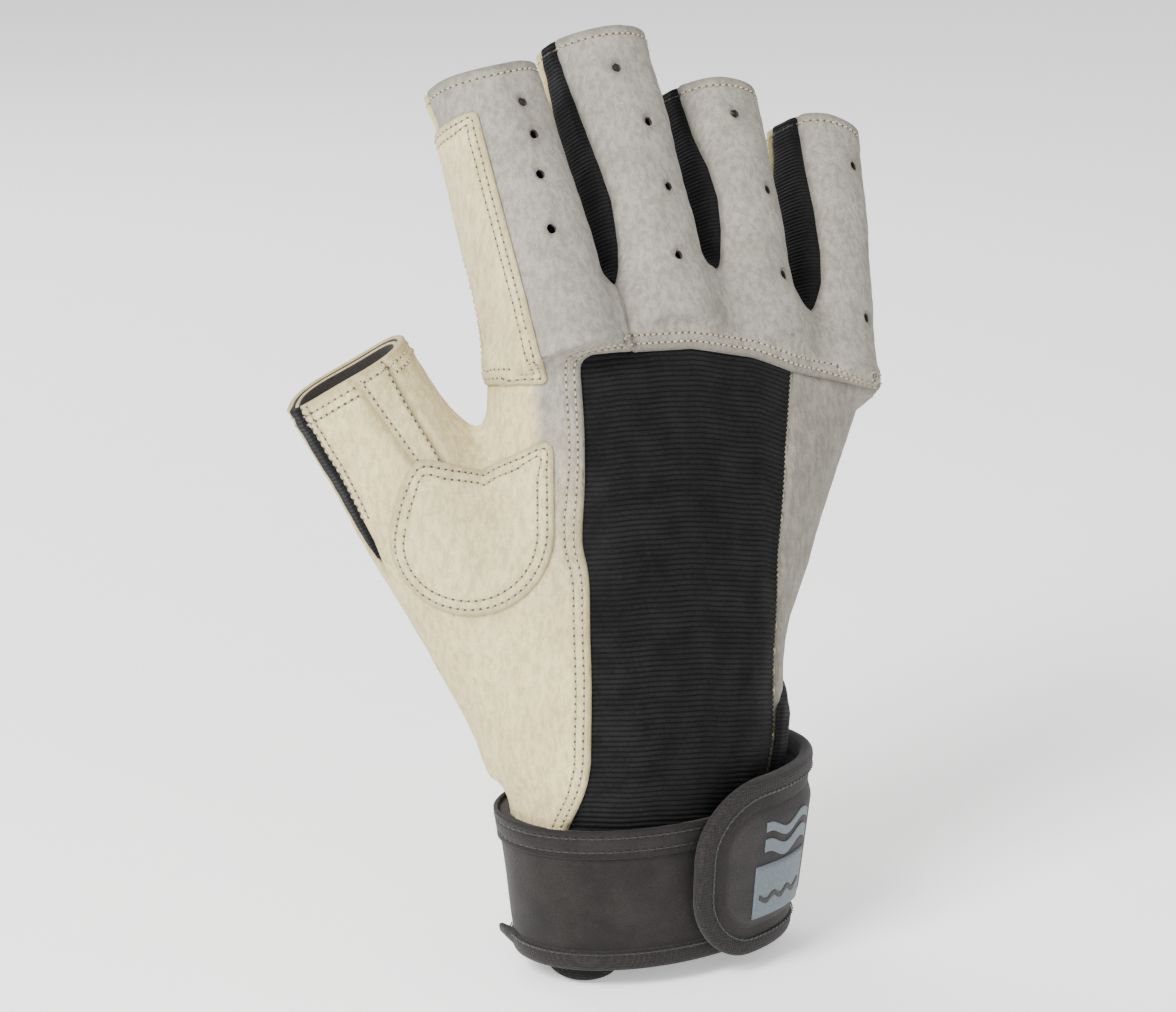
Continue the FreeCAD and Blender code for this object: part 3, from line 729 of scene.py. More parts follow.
def thicken(points: Array, normals: Array, faces: Array, outer: Array, inner: Array, roll: Array,
            edge: Array, dark: Optional[Array] = None) -> Solid:
    """Gives a surface a thickness and a rounded rim.

    Args:
        points: the surface.
        normals: outward unit normals.
        faces: triangles or quads, wound anticlockwise from outside.
        outer: how far out the outer face stands at each point.
        inner: the same for the inner face.
        roll: how far the rim bulges at each point.
        edge: distance of each point from the nearest edge.
        dark: how much painted shade the rim gets at each point, standing in for the shade inside a vent hole.

    Returns:
        The closed mesh.
    """
    count, sides = len(points), faces.shape[1]
    edges = np.concatenate([faces[:, [k, (k + 1) % sides]] for k in range(sides)]).astype(np.int64)
    alone = ~np.isin(edges[:, 0] * count + edges[:, 1], edges[:, 1] * count + edges[:, 0])
    border = edges[alone]
    away = np.zeros_like(points)
    lean = unit(np.cross(points[border[:, 1]] - points[border[:, 0]], normals[border[:, 0]]))
    np.add.at(away, border[:, 0], lean)
    np.add.at(away, border[:, 1], lean)
    away = unit(away)
    top = points + normals * outer[:, None]
    bottom = points + normals * inner[:, None]
    rim = np.unique(border)
    place = np.full(count, -1)
    place[rim] = np.arange(len(rim))
    rings, blocks = [top, bottom], [faces, faces[:, ::-1] + count]
    before = border
    steps = (0.18, 0.5, 0.82)
    for k, s in enumerate(steps):
        rings.append(top[rim] * (1 - s) + bottom[rim] * s + away[rim] * (roll[rim] * math.sin(math.pi * s))[:, None])
        now = place[border] + 2 * count + k * len(rim)
        blocks.append(np.stack([before[:, 1], before[:, 0], now[:, 0], now[:, 1]], 1))
        before = now
    blocks.append(np.stack([before[:, 1], before[:, 0], border[:, 0] + count, border[:, 1] + count], 1))
    near = np.concatenate([edge, edge] + [np.zeros(len(rim))] * len(steps))
    shade = np.zeros(count) if dark is None else dark
    # The "inside" value is 1 on the inner face and on rims given dark; the suede paints both dark charcoal as painted
    # shade.
    inside = np.concatenate([np.zeros(count), np.ones(count)] + [np.maximum(shade[rim], s * 0.5) for s in steps])
    return Solid(np.concatenate(rings), blocks, {"edge": near, "inside": inside}, [0] * len(blocks))


class Panel:
    """A panel of fabric on the worn shape, with finished edges and rows of stitches."""

    def __init__(self, cloth: Cloth, seams: Sequence[Seam], offset: float = 0.0,
                 thickness: float = SUEDE_THICKNESS, relief: Optional[Scalar] = None) -> None:
        """Cuts the panel out.

        Args:
            cloth: what it is cut from.
            seams: its edges.
            offset: how far its outer face stands off the worn shape.
            thickness: of the fabric.
            relief: extra height of the outer face.
        """
        self.shape, self.seams = cloth.shape, list(seams)
        self.offset, self.thickness, self.relief = offset, thickness, relief
        self.inward = [seam.inward(self.shape) for seam in self.seams]
        for seam in self.seams:
            cloth, _ = cloth.cut(seam.value, below=True)
            cloth.points = self.snapped(cloth.points, seam.value)
        self.cloth = cloth

    def snapped(self, p: Array, value: Scalar) -> Array:
        """Moves the points that lie nearly on a line onto it.

        Args:
            p: points in millimetres.
            value: the function whose zero line it is.

        Returns:
            The points, moved where they were near.
        """
        v = value(p)
        close = np.abs(v) < 0.18
        if not close.any():
            return p
        q = p[close]
        step = 0.1
        slope = np.stack([value(q + step * e) - value(q - step * e) for e in np.eye(3)], 1) / (2 * step)
        n = self.shape.normals(q)
        slope = slope - n * (slope * n).sum(1, keepdims=True)
        size = (slope**2).sum(1)
        move = np.where((size > 0.2)[:, None], slope * (v[close] / np.maximum(size, 0.2))[:, None], 0)
        far = np.linalg.norm(move, axis=1) > 0.25
        move[far] = 0
        p = p.copy()
        p[close] = q - move
        return p

    def height(self, p: Array) -> Array:
        """How far the outer face stands off the worn shape.

        Args:
            p: points in millimetres.

        Returns:
            One height for each point.
        """
        total = np.full(len(p), float(self.offset))
        for seam, inward in zip(self.seams, self.inward):
            if seam.edge not in (Edge.HIDDEN, Edge.JOIN):
                total = total + seam.edge.relief(np.maximum(inward(p), 0))
        q = HAND.local(p)
        creep = np.sin(q[:, 0] * 0.83 + 2.1 * np.sin(q[:, 2] * 0.31)) * np.sin(q[:, 2] * 0.71 + q[:, 1] * 0.66)
        total = total + 0.07 * creep
        return total if self.relief is None else total + self.relief(p)

    def solid(self) -> Solid:
        """The panel's mesh.

        Returns:
            The closed mesh.
        """
        cloth = self.cloth
        for seam, inward in zip(self.seams, self.inward):
            if seam.edge in (Edge.HIDDEN, Edge.JOIN):
                continue
            levels = EDGE_LEVELS + ((2.2, 2.8, 3.4, 4.6) if seam.edge in (Edge.LAP, Edge.PATCH) else ())
            for level in levels:
                cloth, _ = cloth.cut(inward, level)
        p = cloth.points
        n = self.shape.normals(p)
        gaps = np.stack([np.abs(inward(p)) for inward in self.inward])
        kinds = gaps.argmin(0)
        shown = np.array([s.edge not in (Edge.HIDDEN, Edge.JOIN) for s in self.seams])
        edge = np.where(shown[:, None], gaps, 50.0).min(0)
        rolls = np.array([s.edge.value for s in self.seams])
        outer = self.height(p)
        # Vent hole rims get painted shade through thicken's dark value.
        holes = np.array([s.edge is Edge.HOLE for s in self.seams])
        made = thicken(p, n, cloth.faces, outer, np.full(len(p), self.offset - self.thickness),
                       rolls[kinds] * self.thickness, edge, holes[kinds].astype(float))
        joined = np.array([s.edge is Edge.JOIN for s in self.seams])
        if joined.any():
            on_join = joined[kinds] & (gaps.min(0) < 0.25)
            fixed = np.zeros_like(made.points)
            fixed[:len(p)][on_join] = n[on_join]
            made.fixed_normals = fixed
        return made

    def rows(self, seam: Seam, *distances: float) -> Solid:
        """Rows of stitches beside one of the panel's seams, left out where they come too near another.

        Args:
            seam: the seam, one of the panel's.

        Returns:
            The stitches' mesh.
        """
        index = self.seams.index(seam)
        lines = [line for distance in distances for line in self.cloth.lines(self.inward[index], distance)]
        others = [f for k, f in enumerate(self.inward) if k != index and self.seams[k].edge is not Edge.JOIN]
        return Stitches(self.shape, self.height).along(lines, others)


class Stitches:
    """Rows of thread: short arched stitches with a dark disc at each end, painted shade for the hole that the thread
    goes through.
    """

    RADIUS = (0.35, 0.85, 1.0, 0.85, 0.35)
    RISE = (-0.1, 0.1, 0.16, 0.1, -0.1)
    SHARE = 0.74               # of the pitch that the thread spans
    SIDES = 6
    HOLE_AHEAD = 0.13
    HOLE_RADIUS = 0.3
    HOLE_HEIGHTS = (0.12, 0.02)    # of its middle and its rim

    def __init__(self, shape: Optional[WornShape] = None, height: Optional[Scalar] = None,
                 pitch: float = STITCH_PITCH, radius: float = STITCH_RADIUS) -> None:
        """Says what the stitches lie on and how large they are."""
        self.shape, self.height, self.pitch, self.radius = shape, height, pitch, radius

    def along(self, lines: Iterable[Array], others: Sequence[Scalar] = ()) -> Solid:
        """Stitches along lines of points on the worn shape.

        Args:
            lines: points of each line, in millimetres.
            others: functions that are positive where stitches may stand.

        Returns:
            The stitches' mesh.
        """
        places = []
        for line in lines:
            gaps = np.linalg.norm(np.diff(line, axis=0), axis=1)
            run = np.concatenate([[0], np.cumsum(gaps)])
            count = int((run[-1] - 0.5) / self.pitch)
            if count < 2:
                continue
            starts = 0.25 + np.arange(count)[:, None] * self.pitch
            s = starts + np.linspace(0, self.SHARE * self.pitch, 5)
            places.append(np.stack([np.interp(s, run, line[:, k]) for k in range(3)], -1))
        if not places:
            return Solid(np.zeros((0, 3)), [], {"edge": np.zeros(0)}, [])
        centre = np.concatenate(places)
        middle = centre[:, 2]
        for other in others:
            keep = other(middle) > 0.7
            centre, middle = centre[keep], middle[keep]
        normal = self.shape.normals(middle)
        lift = self.height(middle)
        return self.made(centre + normal[:, None] * lift[:, None, None], normal)

    def made(self, centre: Array, normal: Array) -> Solid:
        """Stitches through given centre points.

        Args:
            centre: five points of each stitch, on the fabric's face.
            normal: the fabric's normal at each stitch.

        Returns:
            The stitches' mesh.
        """
        count = len(centre)
        along = unit(centre[:, -1] - centre[:, 0])
        side = unit(np.cross(along, normal))
        axis = centre + normal[:, None] * np.array(self.RISE)[None, :, None]
        turn = np.arange(self.SIDES) * 2 * math.pi / self.SIDES
        round_ = side[:, None] * np.cos(turn)[None, :, None] + normal[:, None] * np.sin(turn)[None, :, None]
        size = (np.array(self.RADIUS) * self.radius)[None, :, None, None]
        tube = (axis[:, :, None] + round_[:, None] * size).reshape(count, -1, 3)
        rings, sides = len(self.RADIUS), self.SIDES
        quads = []
        for r in range(rings - 1):
            for k in range(sides):
                a, b = r * sides + k, r * sides + (k + 1) % sides
                quads.append((a, b, b + sides, a + sides))
        caps = [tuple(range(sides))[::-1], tuple(range((rings - 1) * sides, rings * sides))]
        shift = (np.arange(count) * rings * sides)[:, None, None]
        tube_quads = (np.array(quads)[None] + shift).reshape(-1, 4)[:, ::-1]
        tube_caps = (np.array(caps)[None] + shift).reshape(-1, sides)[:, ::-1]
        thread = Solid(tube.reshape(-1, 3), [tube_quads, tube_caps], {"edge": np.full(count * rings * sides, NO_EDGE)},
                       [0, 0])
        # Dark discs at both ends of each stitch: painted shade for the thread's holes, which are not cut.
        ends = np.concatenate([centre[:, 0] - along * self.HOLE_AHEAD, centre[:, -1] + along * self.HOLE_AHEAD])
        up = np.concatenate([normal, normal])
        forward = np.concatenate([along, along])
        across = np.cross(forward, up)
        spots = [ends + up * self.HOLE_HEIGHTS[0]]
        for a in turn:
            round_hole = (forward * math.cos(a) + across * math.sin(a)) * self.HOLE_RADIUS
            spots.append(ends + round_hole + up * self.HOLE_HEIGHTS[1])
        spot = np.stack(spots, 1)
        fans = [(0, 1 + (k + 1) % sides, 1 + k) for k in range(sides)]
        shift = (np.arange(len(ends)) * (sides + 1))[:, None, None]
        fan = (np.array(fans)[None] + shift).reshape(-1, 3)
        holes = Solid(spot.reshape(-1, 3), [fan], {"edge": np.full(spot.shape[0] * spot.shape[1], NO_EDGE)}, [1])
        return thread.join(holes)


# ---- the cutting pattern: functions that are negative on each panel ----


class Pattern:
    """Where the seams of the glove run."""

    BACK_LEFT = -28.0
    BACK_RIGHT = ((20, 17.0), (52, 17.4), (79, 17.6), (100, 19.6), (116, 22.5), (130, 25))
    YOKE_LOW = ((-40, 117.4), (-28, 118.0), (-20, 118.9), (-3, 120.1), (12, 118.7), (22.5, 115.9), (30, 114.9),
                (42.6, 113.0), (60, 111.0))
    YOKE_LEFT = -16.8
    SIDE_SEAM = 1.0
    HAND_LOW = 22.5         # the hand's panels end this high inside the cuff
    THUMB_CUT = 1.0

    def __init__(self, shape: WornShape) -> None:
        """Keeps the shape."""
        self.shape = shape

    @staticmethod
    def level(p: Array) -> Array:
        """Height in the hand's frame."""
        return HAND.local(p)[:, 2]

    def above_yoke_line(self, p: Array) -> Array:
        """Positive above the yoke's lower edge."""
        q = HAND.local(p)
        return q[:, 2] - np.interp(q[:, 0], *np.array(self.YOKE_LOW, dtype=float).T)

    def right_of_back(self, p: Array) -> Array:
        """Positive to the little-finger side of the ribbed back."""
        q = HAND.local(p)
        return q[:, 0] - np.interp(q[:, 2], *np.array(self.BACK_RIGHT, dtype=float).T)

    def back(self, p: Array) -> Array:
        """The ribbed back panel.

        Args:
            p: points in millimetres.

        Returns:
            Values, negative on the panel.
        """
        q = HAND.local(p)
        corner = smooth_max(self.BACK_LEFT - q[:, 0], self.above_yoke_line(p), 3.0)
        return np.maximum(np.maximum(corner, self.right_of_back(p)), q[:, 1] - self.SIDE_SEAM)

    def yoke(self, p: Array) -> Array:
        """The knuckle yoke."""
        q = HAND.local(p)
        return np.maximum(np.maximum(self.YOKE_LEFT - q[:, 0], -self.above_yoke_line(p)), q[:, 1] - self.SIDE_SEAM)

    def little_side(self, p: Array) -> Array:
        """The panel on the little-finger side."""
        q = HAND.local(p)
        return np.maximum(np.maximum(-self.right_of_back(p), self.above_yoke_line(p)), q[:, 1] - self.SIDE_SEAM)

    def back_seam(self, k: int, p: Array) -> Array:
        """Degrees from the back at which a finger's thumb-side seam lies."""
        rows = np.array(FINGERS[k].back_seam, dtype=float).T
        return -np.interp(FINGERS[k].height(p), rows[0], rows[1])

    def nearest(self, k: int, p: Array) -> Array:
        """Negative where a finger is nearer than its neighbours.

        Args:
            k: number of the finger, counted from the index.
            p: points in millimetres.

        Returns:
            Values, negative where it is nearest.
        """
        own = self.shape.fingers[k](p)
        others = [self.shape.fingers[j](p) for j in range(4) if j != k] + [self.shape.thumb_only(p)]
        return (own - np.min(others, axis=0)) / 2

    def web(self, k: int) -> Scalar:
        """The ribbed web between a finger and the next.

        Args:
            k: number of the finger, counted from the index.

        Returns:
            A function, negative on the web.
        """
        def value(p: Array) -> Array:
            """Negative on the web.

            Args:
                p: points in millimetres.

            Returns:
                Values, negative on the web.
            """
            left, right = self.shape.fingers[k](p), self.shape.fingers[k + 1](p)
            a, b = FINGERS[k].angle(p), FINGERS[k + 1].angle(p)
            low = np.maximum(FINGERS[k].far_seam - a, a - PALM_SEAM) * MM_PER_DEGREE
            high = np.maximum(b + self.back_seam(k + 1, p), -PALM_SEAM - b) * MM_PER_DEGREE
            side = np.where(left < right, low, high)
            others = [self.shape.fingers[j](p) for j in range(4) if j not in (k, k + 1)]
            near = (np.minimum(left, right) - np.min(others, axis=0)) / 2
            bottom = WEB_BOTTOMS[k][1] - self.level(p)
            return np.maximum(smooth_max(side, bottom, 2.5), near)
        return value

    def moving_finger(self, k: int) -> Scalar:
        """What goes with a finger.

        Args:
            k: number of the finger, counted from the index.

        Returns:
            A function, negative on what moves.
        """
        def value(p: Array) -> Array:
            """Negative on what goes with the finger."""
            return np.maximum(self.nearest(k, p), HINGE_CUT - FINGERS[k].height(p))
        return value

    def moving_thumb(self, p: Array) -> Array:
        """What goes with the thumb."""
        near = (self.shape.thumb_only(p) - self.shape.rest(p)) / 2
        return np.maximum(near, self.THUMB_CUT - THUMB.local(p)[:, 2])

    def web_patch(self, p: Array) -> Array:
        """The U-shaped second layer round the thumb's crotch.

        Args:
            p: points in millimetres.

        Returns:
            Values, negative on the patch.
        """
        q = HAND.local(p)
        u, v = q @ ACROSS, q[:, 2]
        narrow = 0.0075 * np.maximum(v - 80, 0) ** 2
        bowl = np.hypot(u + 35.6 - narrow, np.minimum(v - 83.6, 0)) - 15.6 + narrow
        top = v - np.interp(u, (-60, -46, -34, -31.3, -20, -10), (95, 98, 95.5, 96.8, 101.9, 104))
        return np.maximum(smooth_max(bowl, top, 3.0), q[:, 1] - 13)

    def index_patch(self, p: Array) -> Array:
        """The second layer on the thumb side of the index finger.

        Args:
            p: points in millimetres.

        Returns:
            Values, negative on the patch.
        """
        q = HAND.local(p)
        finger = FINGERS[0].frame.local(p)
        right = q @ ACROSS - np.interp(q[:, 2], (104, 112.4, 128.9, 166.8), (-20.4, -21, -25.1, -35.2))
        top = finger[:, 2] - 36.0 + 0.02 * finger[:, 0]
        side = smooth_max(smooth_max(right, top, 1.5), 112.5 - q[:, 2], 1.5)
        near = (self.shape.fingers[0](p) - self.shape.thumb_only(p)) / 2
        return np.maximum(np.maximum(smooth_max(side, finger[:, 1] - 11.2, 3.0), q[:, 0] + 16), near)

    def palm_patch(self, p: Array) -> Array:
        """The second layer on the palm.

        Args:
            p: points in millimetres.

        Returns:
            Values, negative on the patch.
        """
        q = HAND.local(p)
        gap = np.maximum(np.abs(q[:, [0, 2]] - vec(11, 84)) - vec(27, 32) + 12, 0)
        return np.maximum(np.linalg.norm(gap, axis=1) - 12, 4 - q[:, 1])

    def thumb_angle(self, p: Array, middle: float) -> Array:
        """Degrees round the thumb from a place, between -180 and 180."""
        q = THUMB.local(p)
        return (np.degrees(np.arctan2(q[:, 1], q[:, 0])) - middle + 180) % 360 - 180

    def thumb_strip(self, p: Array) -> Array:
        """The ribbed strip on the outside of the thumb, which narrows to a point below.

        Args:
            p: points in millimetres.

        Returns:
            Values, negative on the strip.
        """
        q = THUMB.local(p)
        half = np.interp(q[:, 2], (-12, -9, -3, 4, 12, 30), (-1.5, 0.3, 2.2, 3.0, 3.4, 3.5))
        near = (self.shape.thumb_only(p) - self.shape.rest(p)) / 2
        wide = np.abs(self.thumb_angle(p, 212.0)) * THUMB_MM_PER_DEGREE - half
        return np.maximum(wide, near)

    def thumb_insert(self, p: Array) -> Array:
        """The narrow suede strip on the index side of the thumb.

        Args:
            p: points in millimetres.

        Returns:
            Values, negative on the strip.
        """
        q = THUMB.local(p)
        half = np.interp(q[:, 2], (-10, 4, 26), (1.6, 2.4, 3.6))
        return np.abs(self.thumb_angle(p, 302.0)) * THUMB_MM_PER_DEGREE - half


def outside(value: Scalar) -> Scalar:
    """The function whose sign is turned round."""
    return lambda p: -value(p)


# ---- the cuff's surface ----


class CuffFace:
    """The cuff's outer face: a rounded oval that widens upwards."""

    HEIGHT = 28.5
    BOTTOM = (27.6, 19.5)
    TOP = (31.8, 22.0)
    POWER = 2.1

    @classmethod
    def point(cls, turn: Array, z: Array, offset: Array) -> Array:
        """Points at a turn round the cuff in degrees, a height and an offset.

        Args:
            turn: degrees round the cuff.
            z: height.
            offset: how far off the cuff's face.

        Returns:
            The points, in millimetres.
        """
        turn, z, offset = np.broadcast_arrays(np.asarray(turn, float), z, offset)
        share = z / cls.HEIGHT
        a, b = (low + (high - low) * share + offset for low, high in zip(cls.BOTTOM, cls.TOP))
        c, s = np.cos(np.radians(turn)), np.sin(np.radians(turn))
        power = 2 / cls.POWER
        return np.stack([a * np.sign(c) * np.abs(c) ** power, b * np.sign(s) * np.abs(s) ** power, z], -1)

    @classmethod
    def normal(cls, turn: Array, z: Array) -> Array:
        """Outward normals.

        Args:
            turn: degrees round the cuff.
            z: height.

        Returns:
            Unit vectors.
        """
        step = 0.05
        ahead = cls.point(turn + step, z, 0) - cls.point(turn - step, z, 0)
        up = cls.point(turn, z + step, 0) - cls.point(turn, z - step, 0)
        return unit(np.cross(ahead, up))


def grid_faces(rows: int, columns: int, closed: bool = False) -> Array:
    """Quads of a grid of points numbered row by row.

    Args:
        rows: of points.
        columns: of points.
        closed: whether the last column meets the first.

    Returns:
        The quads, wound anticlockwise where columns run to the right and rows run up.
    """
    index = np.arange(rows * columns).reshape(rows, columns)
    right = np.roll(index, -1, 1) if closed else index[:, 1:]
    left = index if closed else index[:, :-1]
    return np.stack([left[:-1], right[:-1], right[1:], left[1:]], -1).reshape(-1, 4)


def swept(path: Array, normals: Array, profile: Array, closed: bool = False) -> Solid:
    """A closed profile moved along a path.

    Args:
        path: points.
        normals: the way the profile's second axis points at each of them.
        profile: points of the closed profile, as across and up.
        closed: whether the path is a loop.

    Returns:
        The mesh, with flat ends where the path is open.
    """
    ahead = np.gradient(path, axis=0) if not closed else np.roll(path, -1, 0) - np.roll(path, 1, 0)
    side = unit(np.cross(unit(ahead), normals))
    points = path[:, None] + side[:, None] * profile[None, :, :1] + normals[:, None] * profile[None, :, 1:]
    rows, columns = points.shape[:2]
    quads = grid_faces(rows, columns, True)
    if closed:
        last, first = (rows - 1) * columns + np.arange(columns), np.arange(columns)
        quads = np.concatenate([quads, np.stack([last, np.roll(last, -1), np.roll(first, -1), first], 1)])
    blocks, shades = [quads], [0]
    if not closed:
        blocks += [np.arange(columns)[None, ::-1], ((rows - 1) * columns + np.arange(columns))[None]]
        shades += [0, 0]
    return Solid(points.reshape(-1, 3), blocks, {"edge": np.full(rows * columns, NO_EDGE)}, shades)


def rounded_profile(width: float, height: float, steps: int = 20, power: float = 2.6) -> Array:
    """A closed oval profile with flattened faces.

    Args:
        width: of the profile.
        height: of the profile.
        steps: number of points.
        power: how square the profile is.

    Returns:
        Points of the profile, as across and up.
    """
    turn = np.arange(steps) * 2 * math.pi / steps
    c, s = np.cos(turn), np.sin(turn)
    return np.stack([width / 2 * np.sign(c) * np.abs(c) ** (2 / power),
                     height / 2 * np.sign(s) * np.abs(s) ** (2 / power)], 1)


# ---- shader maths ----


class Signal:
    """A node's output socket, or a number, with arithmetic that adds Math nodes."""

    def __init__(self, shader: "Shader", socket: bpy.types.NodeSocket) -> None:
        """Keeps the shader and the socket."""
        self.shader, self.socket = shader, socket

    def _math(self, operation: str, *values: object) -> "Signal":
        """Adds one Math node."""
        return self.shader.node("ShaderNodeMath", {"operation": operation}, dict(enumerate(values)))

    def __add__(self, other: object) -> "Signal":
        """Adds a value."""
        return self._math("ADD", self, other)

    def __radd__(self, other: object) -> "Signal":
        """Is added to a value."""
        return self._math("ADD", other, self)

    def __sub__(self, other: object) -> "Signal":
        """Takes a value away."""
        return self._math("SUBTRACT", self, other)

    def __rsub__(self, other: object) -> "Signal":
        """Is taken from a value."""
        return self._math("SUBTRACT", other, self)

    def __mul__(self, other: object) -> "Signal":
        """Multiplies by a value."""
        return self._math("MULTIPLY", self, other)

    def __rmul__(self, other: object) -> "Signal":
        """Multiplies a value."""
        return self._math("MULTIPLY", other, self)

    def wave(self) -> "Signal":
        """The sine of this value in radians."""
        return self._math("SINE", self)

    def between(self, low: float, high: float) -> "Signal":
        """A smooth ramp from 0 at low to 1 at high, which may run downwards.

        Args:
            low: value where it is 0.
            high: value where it is 1.

        Returns:
            A signal from 0 to 1.
        """
        if low > high:
            return 1.0 - self.between(high, low)
        settings = {"interpolation_type": "SMOOTHSTEP"}
        return self.shader.node("ShaderNodeMapRange", settings, {"Value": self, "From Min": low, "From Max": high})


class Shader:
    """One material and the nodes in it."""

    def __init__(self, name: str) -> None:
        """Starts a material with a Principled shader.

        Args:
            name: of the material.
        """
        self.material = bpy.data.materials.new(name)
        self.material.use_nodes = True
        self.tree = self.material.node_tree
        self.principled = self.tree.nodes["Principled BSDF"]

    def node(self, kind: str, settings: Optional[dict] = None, inputs: Optional[dict] = None,
             output: object = 0) -> Signal:
        """Adds a node.

        Args:
            kind: its type.
            settings: its properties, set before its sockets.
            inputs: values or links of its sockets, by name or number.
            output: name or number of the output to return.

        Returns:
            The node's output.
        """
        made = self.tree.nodes.new(kind)
        for key, value in (settings or {}).items():
            setattr(made, key, value)
        for key, value in (inputs or {}).items():
            self.feed(made.inputs[key], value)
        return Signal(self, made.outputs[output])

    def feed(self, socket: bpy.types.NodeSocket, value: object) -> None:
        """Sets a socket, or links it.

        Args:
            socket: name or number of the input.
            value: a number, a colour or a link.
        """
        if isinstance(value, Signal):
            self.tree.links.new(value.socket, socket)
        elif isinstance(value, bpy.types.NodeSocket):
            self.tree.links.new(value, socket)
        else:
            socket.default_value = value

    def attribute(self, name: str, vector: bool = False) -> Signal:
        """A value stored at the mesh's points."""
        return self.node("ShaderNodeAttribute", {"attribute_name": name}, output="Vector" if vector else "Fac")

    def place(self) -> Signal:
        """The point's place at rest, in millimetres."""
        return self.attribute("rest", vector=True)

    def part(self, vector: Signal, axis: int) -> Signal:
        """One coordinate of a vector."""
        return self.node("ShaderNodeSeparateXYZ", {}, {0: vector}, output=axis)

    def scaled(self, vector: Signal, scale: tuple[float, float, float]) -> Signal:
        """A vector stretched along its axes."""
        return self.node("ShaderNodeVectorMath", {"operation": "MULTIPLY"}, {0: vector, 1: scale})

    def noise(self, vector: Signal, scale: float, detail: float = 3.0, rough: float = 0.55) -> Signal:
        """Noise from 0 to 1."""
        return self.node("ShaderNodeTexNoise", {}, {"Vector": vector, "Scale": scale, "Detail": detail,
                                                    "Roughness": rough})

    def cells(self, vector: Signal, scale: float) -> Signal:
        """Distance to the nearest of scattered points."""
        return self.node("ShaderNodeTexVoronoi", {}, {"Vector": vector, "Scale": scale})

    def mixed(self, share: Signal, first: object, second: object) -> Signal:
        """A colour between two others."""
        settings = {"data_type": "RGBA", "clamp_factor": True}
        return self.node("ShaderNodeMix", settings, {0: share, 6: first, 7: second}, 2)

    def bump(self, height: Signal, depth: float, strength: float = 1.0) -> Signal:
        """A normal bent by a height in units of depth millimetres."""
        return self.node("ShaderNodeBump", {}, {"Height": height, "Distance": depth * MM, "Strength": strength})

    def finish(self, **sockets: object) -> Material:
        """Sets the Principled shader's sockets and returns the material.

        Returns:
            The material.
        """
        for name, value in sockets.items():
            self.feed(self.principled.inputs[name.replace("_", " ")], value)
        return self.material


def tone(code: str, gain: float = 1.0) -> tuple[float, float, float, float]:
    """A display colour such as "ddd6c4" as linear values.

    Args:
        code: six hexadecimal digits.
        gain: factor on the linear values.

    Returns:
        Red, green, blue and alpha.
    """
    values = [int(code[k:k + 2], 16) / 255 for k in (0, 2, 4)]
    linear = [v / 12.92 if v <= 0.04045 else ((v + 0.055) / 1.055) ** 2.4 for v in values]
    return (linear[0] * gain, linear[1] * gain, linear[2] * gain, 1.0)


@dataclass(frozen=True)
class Finish:
    """What every finish with two colours shares."""

    name: str
    light: str
    dark: str

    def between(self, s: Shader, share: Signal) -> Signal:
        """The colour at a share of the way from dark to light."""
        return s.mixed(share, tone(self.dark), tone(self.light))


@dataclass(frozen=True)
class Suede(Finish):
    """Synthetic suede: a short matted nap with cloudy patches of lighter and darker colour."""

    # seam: the darker colour of flecks and grime, also used as painted shade along edges and round holes
    seam: str
    other: Optional["Suede"] = None     # takes over where the "tint" value is 1

    def material(self) -> Material:
        """Builds the material.

        Returns:
            The material.
        """
        s = Shader(self.name)
        place = s.place()
        edge = s.attribute("edge")
        clouds = s.noise(place, 0.11, 4.0, 0.62)
        brushed = s.noise(s.scaled(place, (1.0, 1.0, 0.45)), 0.85, 5.0, 0.68)
        nap = s.noise(place, 4.2, 3.0, 0.7)
        grain = s.cells(place, 2.3)
        share = (clouds * 0.9 + brushed * 0.75 + nap * 0.45).between(0.72, 1.38)
        light, dark, seam = tone(self.light), tone(self.dark), tone(self.seam)
        if self.other:
            tint = s.attribute("tint")
            light = s.mixed(tint, light, tone(self.other.light))
            dark = s.mixed(tint, dark, tone(self.other.dark))
            seam = s.mixed(tint, seam, tone(self.other.seam))
        colour = s.mixed(share, dark, light)
        flecks = brushed.between(0.58, 0.38) * 0.3 + nap.between(0.56, 0.36) * 0.22
        colour = s.mixed(flecks, colour, seam)
        # Painted shade within 1.6 mm of every seam and hole edge, for the shade in seam dips and hole rims; the cloudy
        # band out to 4.5 mm is grime.
        seam_shade_and_grime = edge.between(1.6, 0.0) * 0.42 + (1.0 - s.noise(place, 0.3, 3.0)) * edge.between(4.5, 0.5) * 0.22
        colour = s.mixed(seam_shade_and_grime, colour, seam)
        worn = (clouds * brushed).between(0.28, 0.42) * 0.22
        colour = s.mixed(worn, colour, light)
        # Painted shade: the inner face and the rims of vent holes turn dark charcoal, standing in for the shade inside
        # the glove.
        colour = s.mixed(s.attribute("inside").between(0.5, 0.9), colour, tone("2e2b28"))
        height = nap * 0.5 + grain * 0.25 + brushed * 0.8
        return s.finish(
            Base_Color=colour,
            Roughness=0.9 - share * 0.1,
            Normal=s.bump(height, 0.3, 0.75),
            Sheen_Weight=0.1, Sheen_Roughness=0.55, Specular_IOR_Level=0.18)


